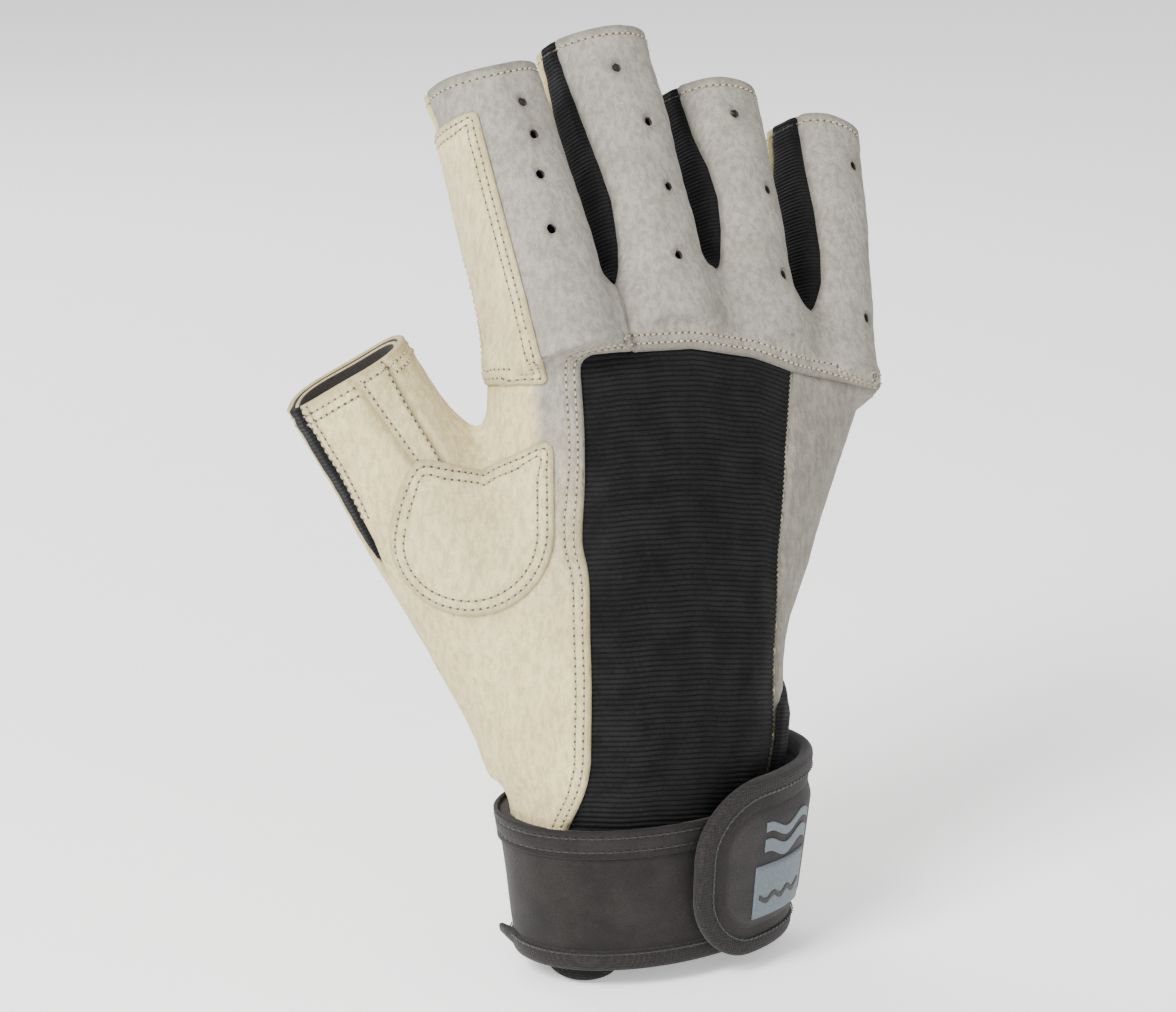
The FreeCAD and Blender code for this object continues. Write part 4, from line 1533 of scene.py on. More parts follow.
@dataclass(frozen=True)
class RibKnit:
    """Black ribbed stretch fabric with painted shade in its rib valleys. The ribs of the small pieces are in the bump.
    """

    name: str
    pitch: float = 0.0

    def material(self) -> Material:
        """Builds the material.

        Returns:
            The material.
        """
        s = Shader(self.name)
        place = s.place()
        rib = s.attribute("rib")
        loops = s.noise(s.scaled(place, (1.0, 1.0, 0.3)), 4.5, 2.0, 0.6)
        dust = s.noise(place, 1.1, 4.0, 0.7)
        clouds = s.noise(place, 0.16, 3.0)
        share = (loops * 0.55 + clouds * 0.6 + dust * 0.35).between(0.5, 1.0)
        colour = s.mixed(share, tone("0b0b0c"), tone("1b1b1c"))
        if self.pitch:
            crest = (rib * (2 * math.pi / self.pitch)).wave() * 0.5 + 0.5
        else:
            crest = rib
        # Painted shade: the rib valleys are darkened towards near black.
        colour = s.mixed(crest.between(0.5, 0.05) * 0.75, colour, tone("020202"))
        height = crest * 1.3 + loops * 0.35 if self.pitch else loops * 0.5 + crest * 0.2
        return s.finish(Base_Color=colour, Roughness=0.84 - share * 0.1, Normal=s.bump(height, 0.2, 0.8),
                        Sheen_Weight=0.04, Sheen_Roughness=0.4, Specular_IOR_Level=0.12)


@dataclass(frozen=True)
class Jersey(Finish):
    """Fabric-faced foam rubber: a fine knit with pale fibres and a faint bloom."""

    fine: float = 2.0

    def material(self) -> Material:
        """Builds the material.

        Returns:
            The material.
        """
        s = Shader(self.name)
        place = s.place()
        edge = s.attribute("edge")
        knit = s.cells(s.scaled(place, (1.0, 1.0, 1.7)), self.fine)
        fuzz = s.noise(place, 2.6, 4.0, 0.7)
        clouds = s.noise(place, 0.12, 4.0, 0.6)
        share = (clouds * 0.8 + fuzz * 0.6).between(0.45, 0.95)
        colour = self.between(s, share)
        colour = s.mixed(knit.between(0.25, 0.6) * 0.3, colour, tone(self.dark, 0.6))
        colour = s.mixed(edge.between(1.4, 0.0) * 0.5, colour, tone(self.dark, 0.7))
        return s.finish(Base_Color=colour, Roughness=0.88 - fuzz * 0.12,
                        Normal=s.bump(knit * 0.6 + fuzz * 0.5, 0.12, 0.7), Sheen_Weight=0.08,
                        Sheen_Roughness=0.5, Specular_IOR_Level=0.18)


@dataclass(frozen=True)
class Tape(Finish):
    """Woven edge tape with cross ribs and pale worn fibres."""

    def material(self) -> Material:
        """Builds the material.

        Returns:
            The material.
        """
        s = Shader(self.name)
        place = s.place()
        x, y, z = (s.part(place, k) for k in range(3))
        one = ((x * 5.2 + z * 5.2) + (y * 5.2)).wave()
        two = ((x * 5.2 - z * 5.2) + (y * 5.2)).wave()
        weave = one * two
        fuzz = s.noise(place, 1.8, 4.0, 0.7)
        share = (fuzz * 0.9 + weave * 0.12).between(0.3, 0.72)
        colour = self.between(s, share)
        return s.finish(Base_Color=colour, Roughness=0.82, Normal=s.bump(weave * 0.5 + fuzz * 0.4, 0.12, 0.7),
                        Sheen_Weight=0.08, Sheen_Roughness=0.45, Specular_IOR_Level=0.2)


@dataclass(frozen=True)
class Thread(Finish):
    """Spun thread with a slight gloss."""

    def material(self) -> Material:
        """Builds the material.

        Returns:
            The material.
        """
        s = Shader(self.name)
        place = s.place()
        ply = s.noise(place, 3.4, 2.0)
        slow = s.noise(place, 0.2, 2.0)
        share = (ply * 0.7 + slow * 0.6).between(0.45, 0.85)
        return s.finish(Base_Color=self.between(s, share), Roughness=0.62 - ply * 0.1,
                        Normal=s.bump(ply, 0.06, 0.6), Sheen_Weight=0.15, Specular_IOR_Level=0.4)


@dataclass(frozen=True)
class Fastener(Finish):
    """Hook or loop fastener: a dense field of tiny hooks or loops."""

    scale: float

    def material(self) -> Material:
        """Builds the material.

        Returns:
            The material.
        """
        s = Shader(self.name)
        place = s.place()
        cells = s.cells(place, self.scale)
        fuzz = s.noise(place, self.scale * 1.6, 4.0, 0.75)
        share = (1.0 - cells * 0.9) * 0.6 + fuzz * 0.4
        colour = self.between(s, share.between(0.3, 0.7))
        return s.finish(Base_Color=colour, Roughness=0.75 - fuzz * 0.2, Normal=s.bump(share, 0.5, 0.9),
                        Specular_IOR_Level=0.35)


@dataclass(frozen=True)
class Print(Finish):
    """A thin rubbery print, slightly cracked and cloudy."""

    def material(self) -> Material:
        """Builds the material.

        Returns:
            The material.
        """
        s = Shader(self.name)
        place = s.place()
        cracks = s.cells(place, 1.7)
        fuzz = s.noise(place, 2.2, 4.0, 0.7)
        colour = self.between(s, (fuzz * 0.8 + cracks * 0.3).between(0.35, 0.8))
        return s.finish(Base_Color=colour, Roughness=0.5 + fuzz * 0.2,
                        Normal=s.bump(cracks * 0.5 + fuzz * 0.5, 0.05, 0.7), Specular_IOR_Level=0.4)


@dataclass(frozen=True)
class Backdrop:
    """A plain pale paper floor with a barely visible grain."""

    name: str

    def material(self) -> Material:
        """Builds the material.

        Returns:
            The material.
        """
        s = Shader(self.name)
        grain = s.noise(s.node("ShaderNodeTexCoord", output="Object"), 60.0, 3.0)
        return s.finish(Base_Color=s.mixed(grain, tone("fafaf9"), tone("fefefd")), Roughness=0.9 - grain * 0.05,
                        Specular_IOR_Level=0.1, Emission_Color=(1.0, 1.0, 1.0, 1.0), Emission_Strength=0.45)


class Finishes:
    """Every finish of the glove, built once."""

    def __init__(self) -> None:
        """Makes every material."""
        grey = Suede("suede_grey", "9a958b", "827d74", "5c574e")
        self.cream = Suede("suede_cream", "d8c998", "c2b381", "86795a", grey).material()
        self.patch = Suede("suede_patch_cream", "d6c89c", "c0b284", "897d5d").material()
        self.grey = grey.material()
        # A darker copy of the grey suede: painted shade for the little-finger side panel, which faces away from the
        # key light.
        self.shaded_side_grey = Suede("suede_grey_painted_shade", "8d887d", "767168", "534f47").material()
        self.rib = RibKnit("rib_back").material()
        self.fine_rib = RibKnit("rib_fine", 0.8).material()
        self.foam = Jersey("foam_rubber_facing", "2a2625", "181615").material()
        self.pad = Jersey("strap_pad_facing", "343030", "211f1f", 2.4).material()
        self.tape = Tape("edge_tape", "2c2827", "191717").material()
        # Pull tab webbing: its near-black tone is partly painted shade, copying the dark of the cuff's shadowed far
        # side.
        self.tab = Tape("pull_tab_webbing_and_shade", "1f1d1d", "0d0c0c").material()
        self.thread = Thread("thread_cream", "b5a98a", "948868").material()
        # Discs at the stitch holes: painted shade, in a darker tone of each thread.
        self.stitch_hole_shade = Thread("stitch_hole_shade_cream", "4b4434", "342e23").material()
        self.dark_thread = Thread("thread_dark", "2f2c2b", "1b1918").material()
        self.dark_stitch_hole_shade = Thread("stitch_hole_shade_dark", "100f0f", "080808").material()
        self.hooks = Fastener("hook_tape", "3a3838", "0e0e0e", 2.2).material()
        self.loops = Fastener("loop_tape", "3d3b3b", "171616", 1.8).material()
        self.badge = Print("badge_print", "5f6a71", "50595c").material()
        self.badge_mark = Print("badge_mark", "2a2726", "1c1a1a").material()
        self.floor = Backdrop("pale_floor").material()


# ---- making the pieces ----


@dataclass(frozen=True)
class Bend:
    """A moving body's name and two points in millimetres; a piece given one is made in place and rides with no body.
    """

    body: str
    start: Array
    end: Array


class Workshop:
    """Turns finished meshes into named objects; those given a body's name ride with it, and those given a Bend stay
    where they are made.
    """

    def __init__(self) -> None:
        """Starts the count."""
        self.count = 0

    def piece(self, name: str, solid: Solid, materials: Sequence[Material], motion: object,
              slot: str, nodes: Sequence[str] = ()) -> bpy.types.Object:
        """Makes one piece.

        Args:
            name: of the piece.
            solid: its mesh in millimetres.
            materials: in the order of the solid's shades.
            motion: a body's name, or a Bend.
            slot: the record's material slot; not used.
            nodes: the CAD nodes that it stands for.

        Returns:
            The object.
        """
        mesh = bpy.data.meshes.new(name)
        faces: list = []
        shades: list[int] = []
        for block, shade in zip(solid.faces, solid.shades):
            rows = block.tolist()
            faces += rows
            shades += [shade] * len(rows)
        mesh.from_pydata((solid.points * MM).tolist(), [], faces)
        for material in materials:
            mesh.materials.append(material)
        mesh.polygons.foreach_set("material_index", np.array(shades, dtype=np.int32))
        mesh.polygons.foreach_set("use_smooth", np.ones(len(faces), dtype=bool))
        rest = mesh.attributes.new("rest", "FLOAT_VECTOR", "POINT")
        rest.data.foreach_set("vector", solid.points.astype(np.float32).ravel())
        for key, value in solid.values.items():
            made = mesh.attributes.new(key, "FLOAT", "POINT")
            made.data.foreach_set("value", value.astype(np.float32))
        mesh.update()
        if solid.fixed_normals is not None:
            mesh.normals_split_custom_set_from_vertices(solid.fixed_normals.tolist())
        obj = bpy.data.objects.new(name, mesh)
        bpy.context.scene.collection.objects.link(obj)
        if nodes:
            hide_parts(*nodes)
        if isinstance(motion, Bend):
            tuple(motion.start * MM)
            tuple(motion.end * MM)
            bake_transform(obj)
        else:
            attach(obj, motion)
        self.count += 1
        log.info("%s: %d points", name, len(solid.points))
        return obj


Rows = Sequence[tuple[Seam, tuple[float, ...]]]


@dataclass
class GlovePanels:
    """The fabric panels of the hand, fingers and thumb."""

    shop: Workshop
    finishes: Finishes
    hem_fold: float = 6.5
    hole_radius: float = 1.02
    rib_rows: float = 0.25
    rib_depth: float = 0.2

    def __post_init__(self) -> None:
        """Samples the worn shape and splits it between the bodies."""
        self.shape = WornShape()
        self.pattern = Pattern(self.shape)
        whole = extract(self.shape, vec(-66, -30, 19), vec(88, 56, 187))
        pattern = self.pattern

        def past_thumb(p: Array) -> Array:
            """Negative in the thumb's part of the tube beyond its open end."""
            return np.minimum(THUMB.local(p)[:, 2] - THUMB_SLEEVE - 1.2, -48.5 - HAND.local(p)[:, 0])

        self.whole, _ = whole.cut(past_thumb, below=True)
        self.low = Seam(lambda p: pattern.HAND_LOW - p[:, 2], Edge.HIDDEN)
        moving = [pattern.moving_thumb] + [pattern.moving_finger(k) for k in range(4)]
        self.hand_stops = [self.low] + [Seam(outside(value), Edge.JOIN) for value in moving]
        self.hand = self.whole
        for seam in self.hand_stops:
            self.hand, _ = self.hand.cut(seam.value, below=True)
        self.thumb, *self.movers = (self.whole.cut(value, below=True)[0] for value in moving)

    def finger_bend(self, k: int) -> Bend:
        """The Bend given to a finger's panels: the finger's name and two points on its axis.

        Args:
            k: number of the finger, counted from the index.

        Returns:
            The bend.
        """
        finger = FINGERS[k]
        ends = finger.frame.world(vec(0, 0, HINGE_CUT, 0, 0, HINGE_CUT + BEND_LENGTH).reshape(2, 3))
        return Bend(finger.name, ends[0], ends[1])

    def thumb_bend(self) -> Bend:
        """The same for the thumb.

        Returns:
            The bend.
        """
        cut = Pattern.THUMB_CUT
        ends = THUMB.world(vec(0, 0, cut, 0, 0, cut + THUMB_BEND_LENGTH).reshape(2, 3))
        return Bend("thumb", ends[0], ends[1])

    def make(self) -> None:
        """Makes every panel."""
        self.make_back()
        self.make_wrap()
        self.make_webs()
        self.make_patches()
        for k in range(4):
            self.make_finger(k)
        self.make_thumb()

    def sew(self, name: str, panel: Panel, rows: Rows, motion: object = "hand", slot: str = "suede",
            dark: bool = False) -> None:
        """Makes the topstitching of a panel as one piece.

        Args:
            name: of the panel's piece.
            panel: what is sewn.
            rows: its seams, each with the distances of the rows beside it.
            motion: a body's name, or a Bend.
            slot: the record's material slot.
            dark: whether the thread is dark.
        """
        made = [panel.rows(seam, *distances) for seam, distances in rows]
        made = [solid for solid in made if len(solid.points)]
        if made:
            f = self.finishes
            pair = (f.dark_thread, f.dark_stitch_hole_shade) if dark else (f.thread, f.stitch_hole_shade)
            self.shop.piece(f"{name}_stitching", joined(made), pair, motion, slot)

    def fabric(self, name: str, panel: Panel, finish: Material, motion: object = "hand", rows: Rows = (),
               slot: str = "suede", nodes: Sequence[str] = ()) -> None:
        """Makes a panel and its topstitching.

        Args:
            name: of the piece, and of its CAD node where none is given.
            panel: what is made.
            finish: its material.
            motion: a body's name, or a Bend.
            rows: its seams, each with the distances of the rows beside it.
            slot: the record's material slot.
            nodes: the CAD nodes that it stands for.
        """
        self.shop.piece(name, panel.solid(), [finish], motion, slot, nodes or [name])
        self.sew(name, panel, rows, motion, slot)

    def ribbed(self, name: str, panel: Panel, frame: Frame, motion: object = "hand", rows: Rows = ()) -> None:
        """Makes a small ribbed piece and its topstitching.

        Args:
            name: of the piece and its CAD node.
            panel: what is made.
            frame: whose Z axis the ribs are counted along.
            motion: a body's name, or a Bend.
            rows: its seams, each with the distances of the rows beside it.
        """
        solid = panel.solid()
        # The rib value sets the bump and the painted shade in the rib valleys.
        solid.values["rib"] = frame.local(solid.points)[:, 2]
        self.shop.piece(name, solid, [self.finishes.fine_rib], motion, "ribbed_stretch", [name])
        self.sew(name, panel, rows, motion, "ribbed_stretch", dark=True)

    def make_hem(self, name: str, cloth: Cloth, end: Scalar, height: Scalar, length: float, bend: Bend) -> None:
        """Makes the turned hem inside a sleeve's open end.

        Args:
            name: of the finger or thumb.
            cloth: its part of the worn shape.
            end: positive past its open end.
            height: along the sleeve.
            length: of the sleeve.
            bend: the Bend given to its piece.
        """
        inner = Seam(lambda p: end(p) + 0.35, Edge.HEM)
        fold = Seam(lambda p: length - self.hem_fold - height(p), Edge.PATCH)
        panel = Panel(cloth, [inner, fold], -SUEDE_THICKNESS - 0.35, 0.8)
        self.fabric(f"{name}_hem", panel, self.finishes.cream, bend)

    def make_back(self) -> None:
        """The ribbed back panel, whose ribs follow its upper seam."""
        pattern = self.pattern
        columns, low = 61, 21.0
        rows = int((119.5 - low) / self.rib_rows)
        t = np.linspace(0, 1, rows)[:, None]
        s = np.linspace(0, 1, columns)[None]
        right = np.array(pattern.BACK_RIGHT, dtype=float).T
        top = np.array(pattern.YOKE_LOW, dtype=float).T
        tuck = 1.6
        x = np.zeros((rows, columns)) + s
        v = low + t * 97 + 0 * s
        for _ in range(3):
            end = np.interp(v, *right) + tuck
            start = pattern.BACK_LEFT - tuck
            x = start + s * (end - start)
            v = low + t * (np.interp(x, *top) + tuck - low)
        q = np.stack([x, np.full_like(x, -15.0), v], -1).reshape(-1, 3)
        p = HAND.world(q)
        for _ in range(14):
            n = self.shape.normals(p)
            out = HAND.world(q + vec(0, 1, 0)) - HAND.world(q)
            slope = (n * out).sum(1)
            step = np.clip(self.shape(p) / np.minimum(slope, -0.35), -3, 3)
            p = p - out * step[:, None]
        n = self.shape.normals(p)
        q = HAND.local(p)
        near = np.minimum(np.minimum(q[:, 0] - pattern.BACK_LEFT, -pattern.right_of_back(p)),
                          -pattern.above_yoke_line(p))
        base = -0.75 + 0.75 * smooth_step(near, -0.5, 7.0)
        count = (119.5 - low) / RIB_PITCH
        phase = (t + 0 * s).ravel() * count
        wander = 0.10 * np.sin(q[:, 0] * 0.23 + 0.9) + 0.06 * np.sin(q[:, 0] * 0.61 + phase * 0.05)
        crest = 0.5 + 0.5 * np.cos(2 * math.pi * (phase + wander))
        wrinkle = 0.35 * np.exp(-(((q[:, 0] - 8 - 0.07 * (q[:, 2] - 50)) / 2.0) ** 2)) * smooth_step(q[:, 2], 78, 52)
        outer = base + self.rib_depth * (2 * crest**0.7 - 1) + wrinkle
        faces = grid_faces(rows, columns)
        made = thicken(p, n, faces, outer, np.full(len(p), -1.5), np.zeros(len(p)), np.maximum(near, 0))
        spare = len(made.points) - 2 * len(p)
        # The crest value also sets the painted shade in the rib valleys.
        made.values["rib"] = np.concatenate([crest, crest, np.full(spare, 0.5)])
        self.shop.piece("back_panel", made, [self.finishes.rib], "hand", "ribbed_stretch", ["back_panel"])

    def make_wrap(self) -> None:
        """The suede panels of the hand: palm with its thumb side, knuckle yoke and little-finger side."""
        pattern, f = self.pattern, self.finishes
        lap = Seam(outside(pattern.back), Edge.LAP)
        no_yoke = Seam(outside(pattern.yoke), Edge.TURNED)
        no_side = Seam(outside(pattern.little_side), Edge.TURNED)
        no_webs = [Seam(outside(pattern.web(k)), Edge.TURNED) for k in range(3)]
        no_strip = Seam(outside(pattern.thumb_strip), Edge.TURNED)
        seams = [no_yoke, no_side, lap, no_strip] + no_webs + self.hand_stops
        palm = Panel(self.hand, seams)
        solid = palm.solid()
        q = HAND.local(solid.points)
        past_patch = q @ ACROSS - np.interp(q[:, 2], (60, 104, 112.4, 128.9, 166.8), (-22, -20.4, -21, -25.1, -35.2))
        front = smooth_step(past_patch, -4.0, -1.0) * smooth_step(q[:, 1], 5.0, 0.0)
        solid.values["tint"] = front * smooth_step(q[:, 2], 55.0, 112.0)
        self.shop.piece("palm_panel", solid, [f.cream], "hand", "suede", ["palm_panel", "thumb_base"])
        self.sew("palm_panel", palm, [(lap, DOUBLE_ROW)])

        def yoke_rest(p: Array) -> Array:
            """Negative between the yoke's two sides."""
            q = HAND.local(p)
            return np.maximum(pattern.YOKE_LEFT - q[:, 0], q[:, 1] - pattern.SIDE_SEAM)

        yoke_lap, yoke_side = Seam(outside(pattern.above_yoke_line), Edge.LAP), Seam(yoke_rest, Edge.TURNED)
        yoke = Panel(self.hand, [yoke_lap, yoke_side] + no_webs + self.hole_seams("hand") + self.hand_stops)
        self.fabric("knuckle_yoke", yoke, f.grey, rows=[(yoke_lap, DOUBLE_ROW)])
        side_seams = [Seam(outside(pattern.right_of_back), Edge.TURNED), Seam(pattern.above_yoke_line, Edge.TURNED),
                      Seam(lambda p: HAND.local(p)[:, 1] - pattern.SIDE_SEAM, Edge.TURNED), self.low]
        # The side panel takes the darker grey, painted shade for the side away from the key light.
        self.fabric("little_side_panel", Panel(self.hand, side_seams), f.shaded_side_grey)

    def hole_seams(self, part: str) -> list[Seam]:
        """The vent holes of the hand or of one finger.

        Args:
            part: a body's name.

        Returns:
            One seam for each hole.
        """
        found = []
        clear = 1.4
        for finger in FINGERS:
            for height, angle in finger.holes:
                if height < HINGE_CUT + clear:
                    place = ("hand", min(height, HINGE_CUT - clear))
                else:
                    place = (finger.name, max(height, HINGE_CUT + clear))
                if place[0] == part:
                    found.append(Seam(self.hole(finger, place[1], angle), Edge.HOLE))
        return found

    def hole(self, finger: Finger, height: float, angle: float) -> Scalar:
        """The outside of a round hole in a finger's back.

        Args:
            finger: the finger.
            height: of the hole along the finger.
            angle: degrees from the middle of its back.

        Returns:
            A function, negative outside the hole.
        """
        a = math.radians(angle)
        out, across = vec(math.sin(a), -math.cos(a), 0), vec(math.cos(a), math.sin(a), 0)

        def value(p: Array) -> Array:
            """Negative outside the hole, and on the far side of the finger.

            Args:
                p: points in millimetres.

            Returns:
                Values, positive in the hole.
            """
            q = finger.frame.local(p) - vec(0, 0, height)
            gap = np.hypot(q @ across, q[:, 2])
            return self.hole_radius - np.hypot(gap, 3 * np.maximum(2 - q @ out, 0))
        return value

    def make_webs(self) -> None:
        """The ribbed webs between the fingers."""
        for k, name in enumerate(("web_index_middle", "web_middle_ring", "web_ring_little")):
            web = Panel(self.hand, [Seam(self.pattern.web(k), Edge.TURNED)] + self.hand_stops, -0.35)
            self.ribbed(name, web, FINGERS[k + 1].frame)

    def make_patches(self) -> None:
        """The double-stitched second layers and the elastic insert at the wrist."""
        pattern, f = self.pattern, self.finishes
        cases = (
            ("palm_patch", pattern.palm_patch, self.hand, "hand", ["palm_patch"]),
            ("thumb_web_patch", pattern.web_patch, self.whole, self.thumb_bend(), ["thumb_web_patch"]),
            ("index_patch", pattern.index_patch, self.whole, self.finger_bend(0),
             ["index_patch", "knuckle_side_patch"]),
        )
        for name, region, cloth, motion, nodes in cases:
            seam = Seam(region, Edge.PATCH)
            panel = Panel(cloth, [seam], PATCH_LIFT, PATCH_LIFT - 0.02)
            self.fabric(name, panel, f.patch, motion, [(seam, DOUBLE_ROW)], "suede_patch", nodes)

        def insert(p: Array) -> Array:
            """Negative on the elastic insert.

            Args:
                p: points in millimetres.

            Returns:
                Values, negative on the insert.
            """
            q = HAND.local(p)
            tall = q[:, 2] - np.interp(q[:, 1], (-22, -8, 0, 9), (46, 55, 54, 46))
            return smooth_max(smooth_max(-0.6 - pattern.right_of_back(p), tall, 3), q[:, 1] - 8, 3)

        seam = Seam(insert, Edge.TURNED)
        above = Seam(lambda p: 27.0 - p[:, 2], Edge.HIDDEN)
        inward = seam.inward(self.shape)
        panel = Panel(self.hand, [seam, above], 0.75, 0.72, lambda p: 0.85 * smooth_step(inward(p), 0, 6))
        self.ribbed("wrist_gusset", panel, HAND)

    def make_finger(self, k: int) -> None:
        """A finger's sleeve: back, palm, ribbed sides and turned hem.

        Args:
            k: number of the finger, counted from the index.
        """
        pattern, f, finger = self.pattern, self.finishes, FINGERS[k]
        bend = self.finger_bend(k)

        def end(p: Array) -> Array:
            """Positive past the open end."""
            return finger.height(p) - finger.length - 0.25 * np.sin(np.radians(finger.angle(p)) * 3 + k)

        def back(p: Array) -> Array:
            """Negative on the back.

            Args:
                p: points in millimetres.

            Returns:
                Values, negative on the back.
            """
            a = finger.angle(p)
            near = -a - (PALM_SEAM if k == 0 else pattern.back_seam(k, p))
            far = a - (PALM_SEAM if k == 3 else finger.far_seam)
            return np.maximum(near, far) * MM_PER_DEGREE

        def palm(p: Array) -> Array:
            """Negative on the palm side."""
            return (PALM_SEAM - np.abs(finger.angle(p))) * MM_PER_DEGREE

        def thumb_side(p: Array) -> Array:
            """Negative on the ribbed side towards the thumb."""
            a = finger.angle(p)
            return np.maximum(a + pattern.back_seam(k, p), -PALM_SEAM - a) * MM_PER_DEGREE

        def little_side(p: Array) -> Array:
            """Negative on the ribbed side towards the little finger."""
            a = finger.angle(p)
            return np.maximum(finger.far_seam - a, a - PALM_SEAM) * MM_PER_DEGREE

        cloth, name = self.movers[k], finger.name
        hem = Seam(end, Edge.HEM)
        stop = Seam(pattern.moving_finger(k), Edge.JOIN)
        rows = [(hem, HEM_ROW)]
        panel = Panel(cloth, [Seam(back, Edge.TURNED), hem, stop] + self.hole_seams(name))
        self.fabric(f"{name}_back", panel, f.grey, bend, rows)
        self.fabric(f"{name}_palm", Panel(cloth, [Seam(palm, Edge.TURNED), hem, stop]), f.cream, bend, rows)
        for side, value, missing in (("thumb_side", thumb_side, 0), ("little_side", little_side, 3)):
            if k != missing:
                panel = Panel(cloth, [Seam(value, Edge.TURNED), hem, stop], -0.3)
                self.ribbed(f"{name}_{side}_gusset", panel, finger.frame, bend, rows)
        self.make_hem(name, cloth, end, finger.height, finger.length, bend)

    def make_thumb(self) -> None:
        """The thumb's sleeve: back, palm, ribbed strip, suede insert and turned hem."""
        pattern, f = self.pattern, self.finishes
        bend = self.thumb_bend()

        def height(p: Array) -> Array:
            """Height along the thumb."""
            return THUMB.local(p)[:, 2]

        def end(p: Array) -> Array:
            """Positive past the open end."""
            return height(p) - THUMB_SLEEVE - 0.25 * np.sin(np.radians(pattern.thumb_angle(p, 0)) * 3)

        def sector(p: Array) -> Array:
            """Negative on the side towards the back of the hand."""
            middle, half = 257.0, 45
            return (np.abs(pattern.thumb_angle(p, middle)) - half) * THUMB_MM_PER_DEGREE

        hem = Seam(end, Edge.HEM)
        stop = Seam(pattern.moving_thumb, Edge.JOIN)
        no_strip = Seam(outside(pattern.thumb_strip), Edge.TURNED)
        no_insert = Seam(outside(pattern.thumb_insert), Edge.TURNED)
        double = (hem, (1.6, 3.3))
        back = Panel(self.thumb, [no_strip, no_insert, hem, Seam(sector, Edge.TURNED), stop])
        self.fabric("thumb_back", back, f.cream, bend, [double, (no_strip, (1.1, 2.6))])
        palm = Panel(self.thumb, [no_strip, no_insert, hem, Seam(outside(sector), Edge.TURNED), stop])
        self.fabric("thumb_palm", palm, f.cream, bend, [double])
        side = Seam(pattern.thumb_insert, Edge.TURNED)
        insert = Panel(self.thumb, [side, hem, stop], 0.15)
        self.fabric("thumb_side_insert", insert, f.cream, bend, [(hem, HEM_ROW), (side, (0.9,))])
        strip = Panel(self.whole, [Seam(pattern.thumb_strip, Edge.TURNED), hem], -0.3)
        self.ribbed("thumb_strip", strip, THUMB, bend)
        self.make_hem("thumb", self.thumb, end, height, THUMB_SLEEVE, bend)


def cuff_layer(turns: Array, heights: Array, outer: Array, inner: Array, roll: Array, edge: Array,
               closed: bool = False) -> Solid:
    """A layer over the cuff, from grids with one row per height.

    Args:
        turns: degrees round the cuff.
        heights: of the points.
        outer: offset of the outer face from the cuff's.
        inner: the same for the inner face.
        roll: how far the rim bulges.
        edge: distance from the nearest edge.
        closed: whether the last column meets the first.

    Returns:
        The layer's mesh.
    """
    points = CuffFace.point(turns, heights, 0 * heights).reshape(-1, 3)
    normals = CuffFace.normal(turns, heights).reshape(-1, 3)
    flat = [np.broadcast_to(value, heights.shape).ravel() for value in (outer, inner, roll, edge)]
    return thicken(points, normals, grid_faces(*heights.shape, closed), *flat)


def cuff_band(turns: Array, heights: Array, offsets: Array, thickness: float, roll: float,
              closed: bool = False) -> Solid:
    """A layer over the cuff that runs between an upper and a lower edge.

    Args:
        turns: degrees round the cuff, as a grid with one row per height.
        heights: of the same grid.
        offsets: of the outer face.
        thickness: from the outer face's mean offset to the inner face.
        roll: how far the rim bulges.
        closed: whether the last column meets the first.

    Returns:
        The layer's mesh.
    """
    rows = len(heights)
    index = np.arange(rows)[:, None] + 0 * heights
    span = np.linalg.norm(np.subtract(*(CuffFace.point(turns[r, :1], heights[r, :1], 0) for r in (1, 0))))
    edge = np.minimum(index, rows - 1 - index) * span
    return cuff_layer(turns, heights, offsets, offsets.mean() - thickness, roll, edge, closed)


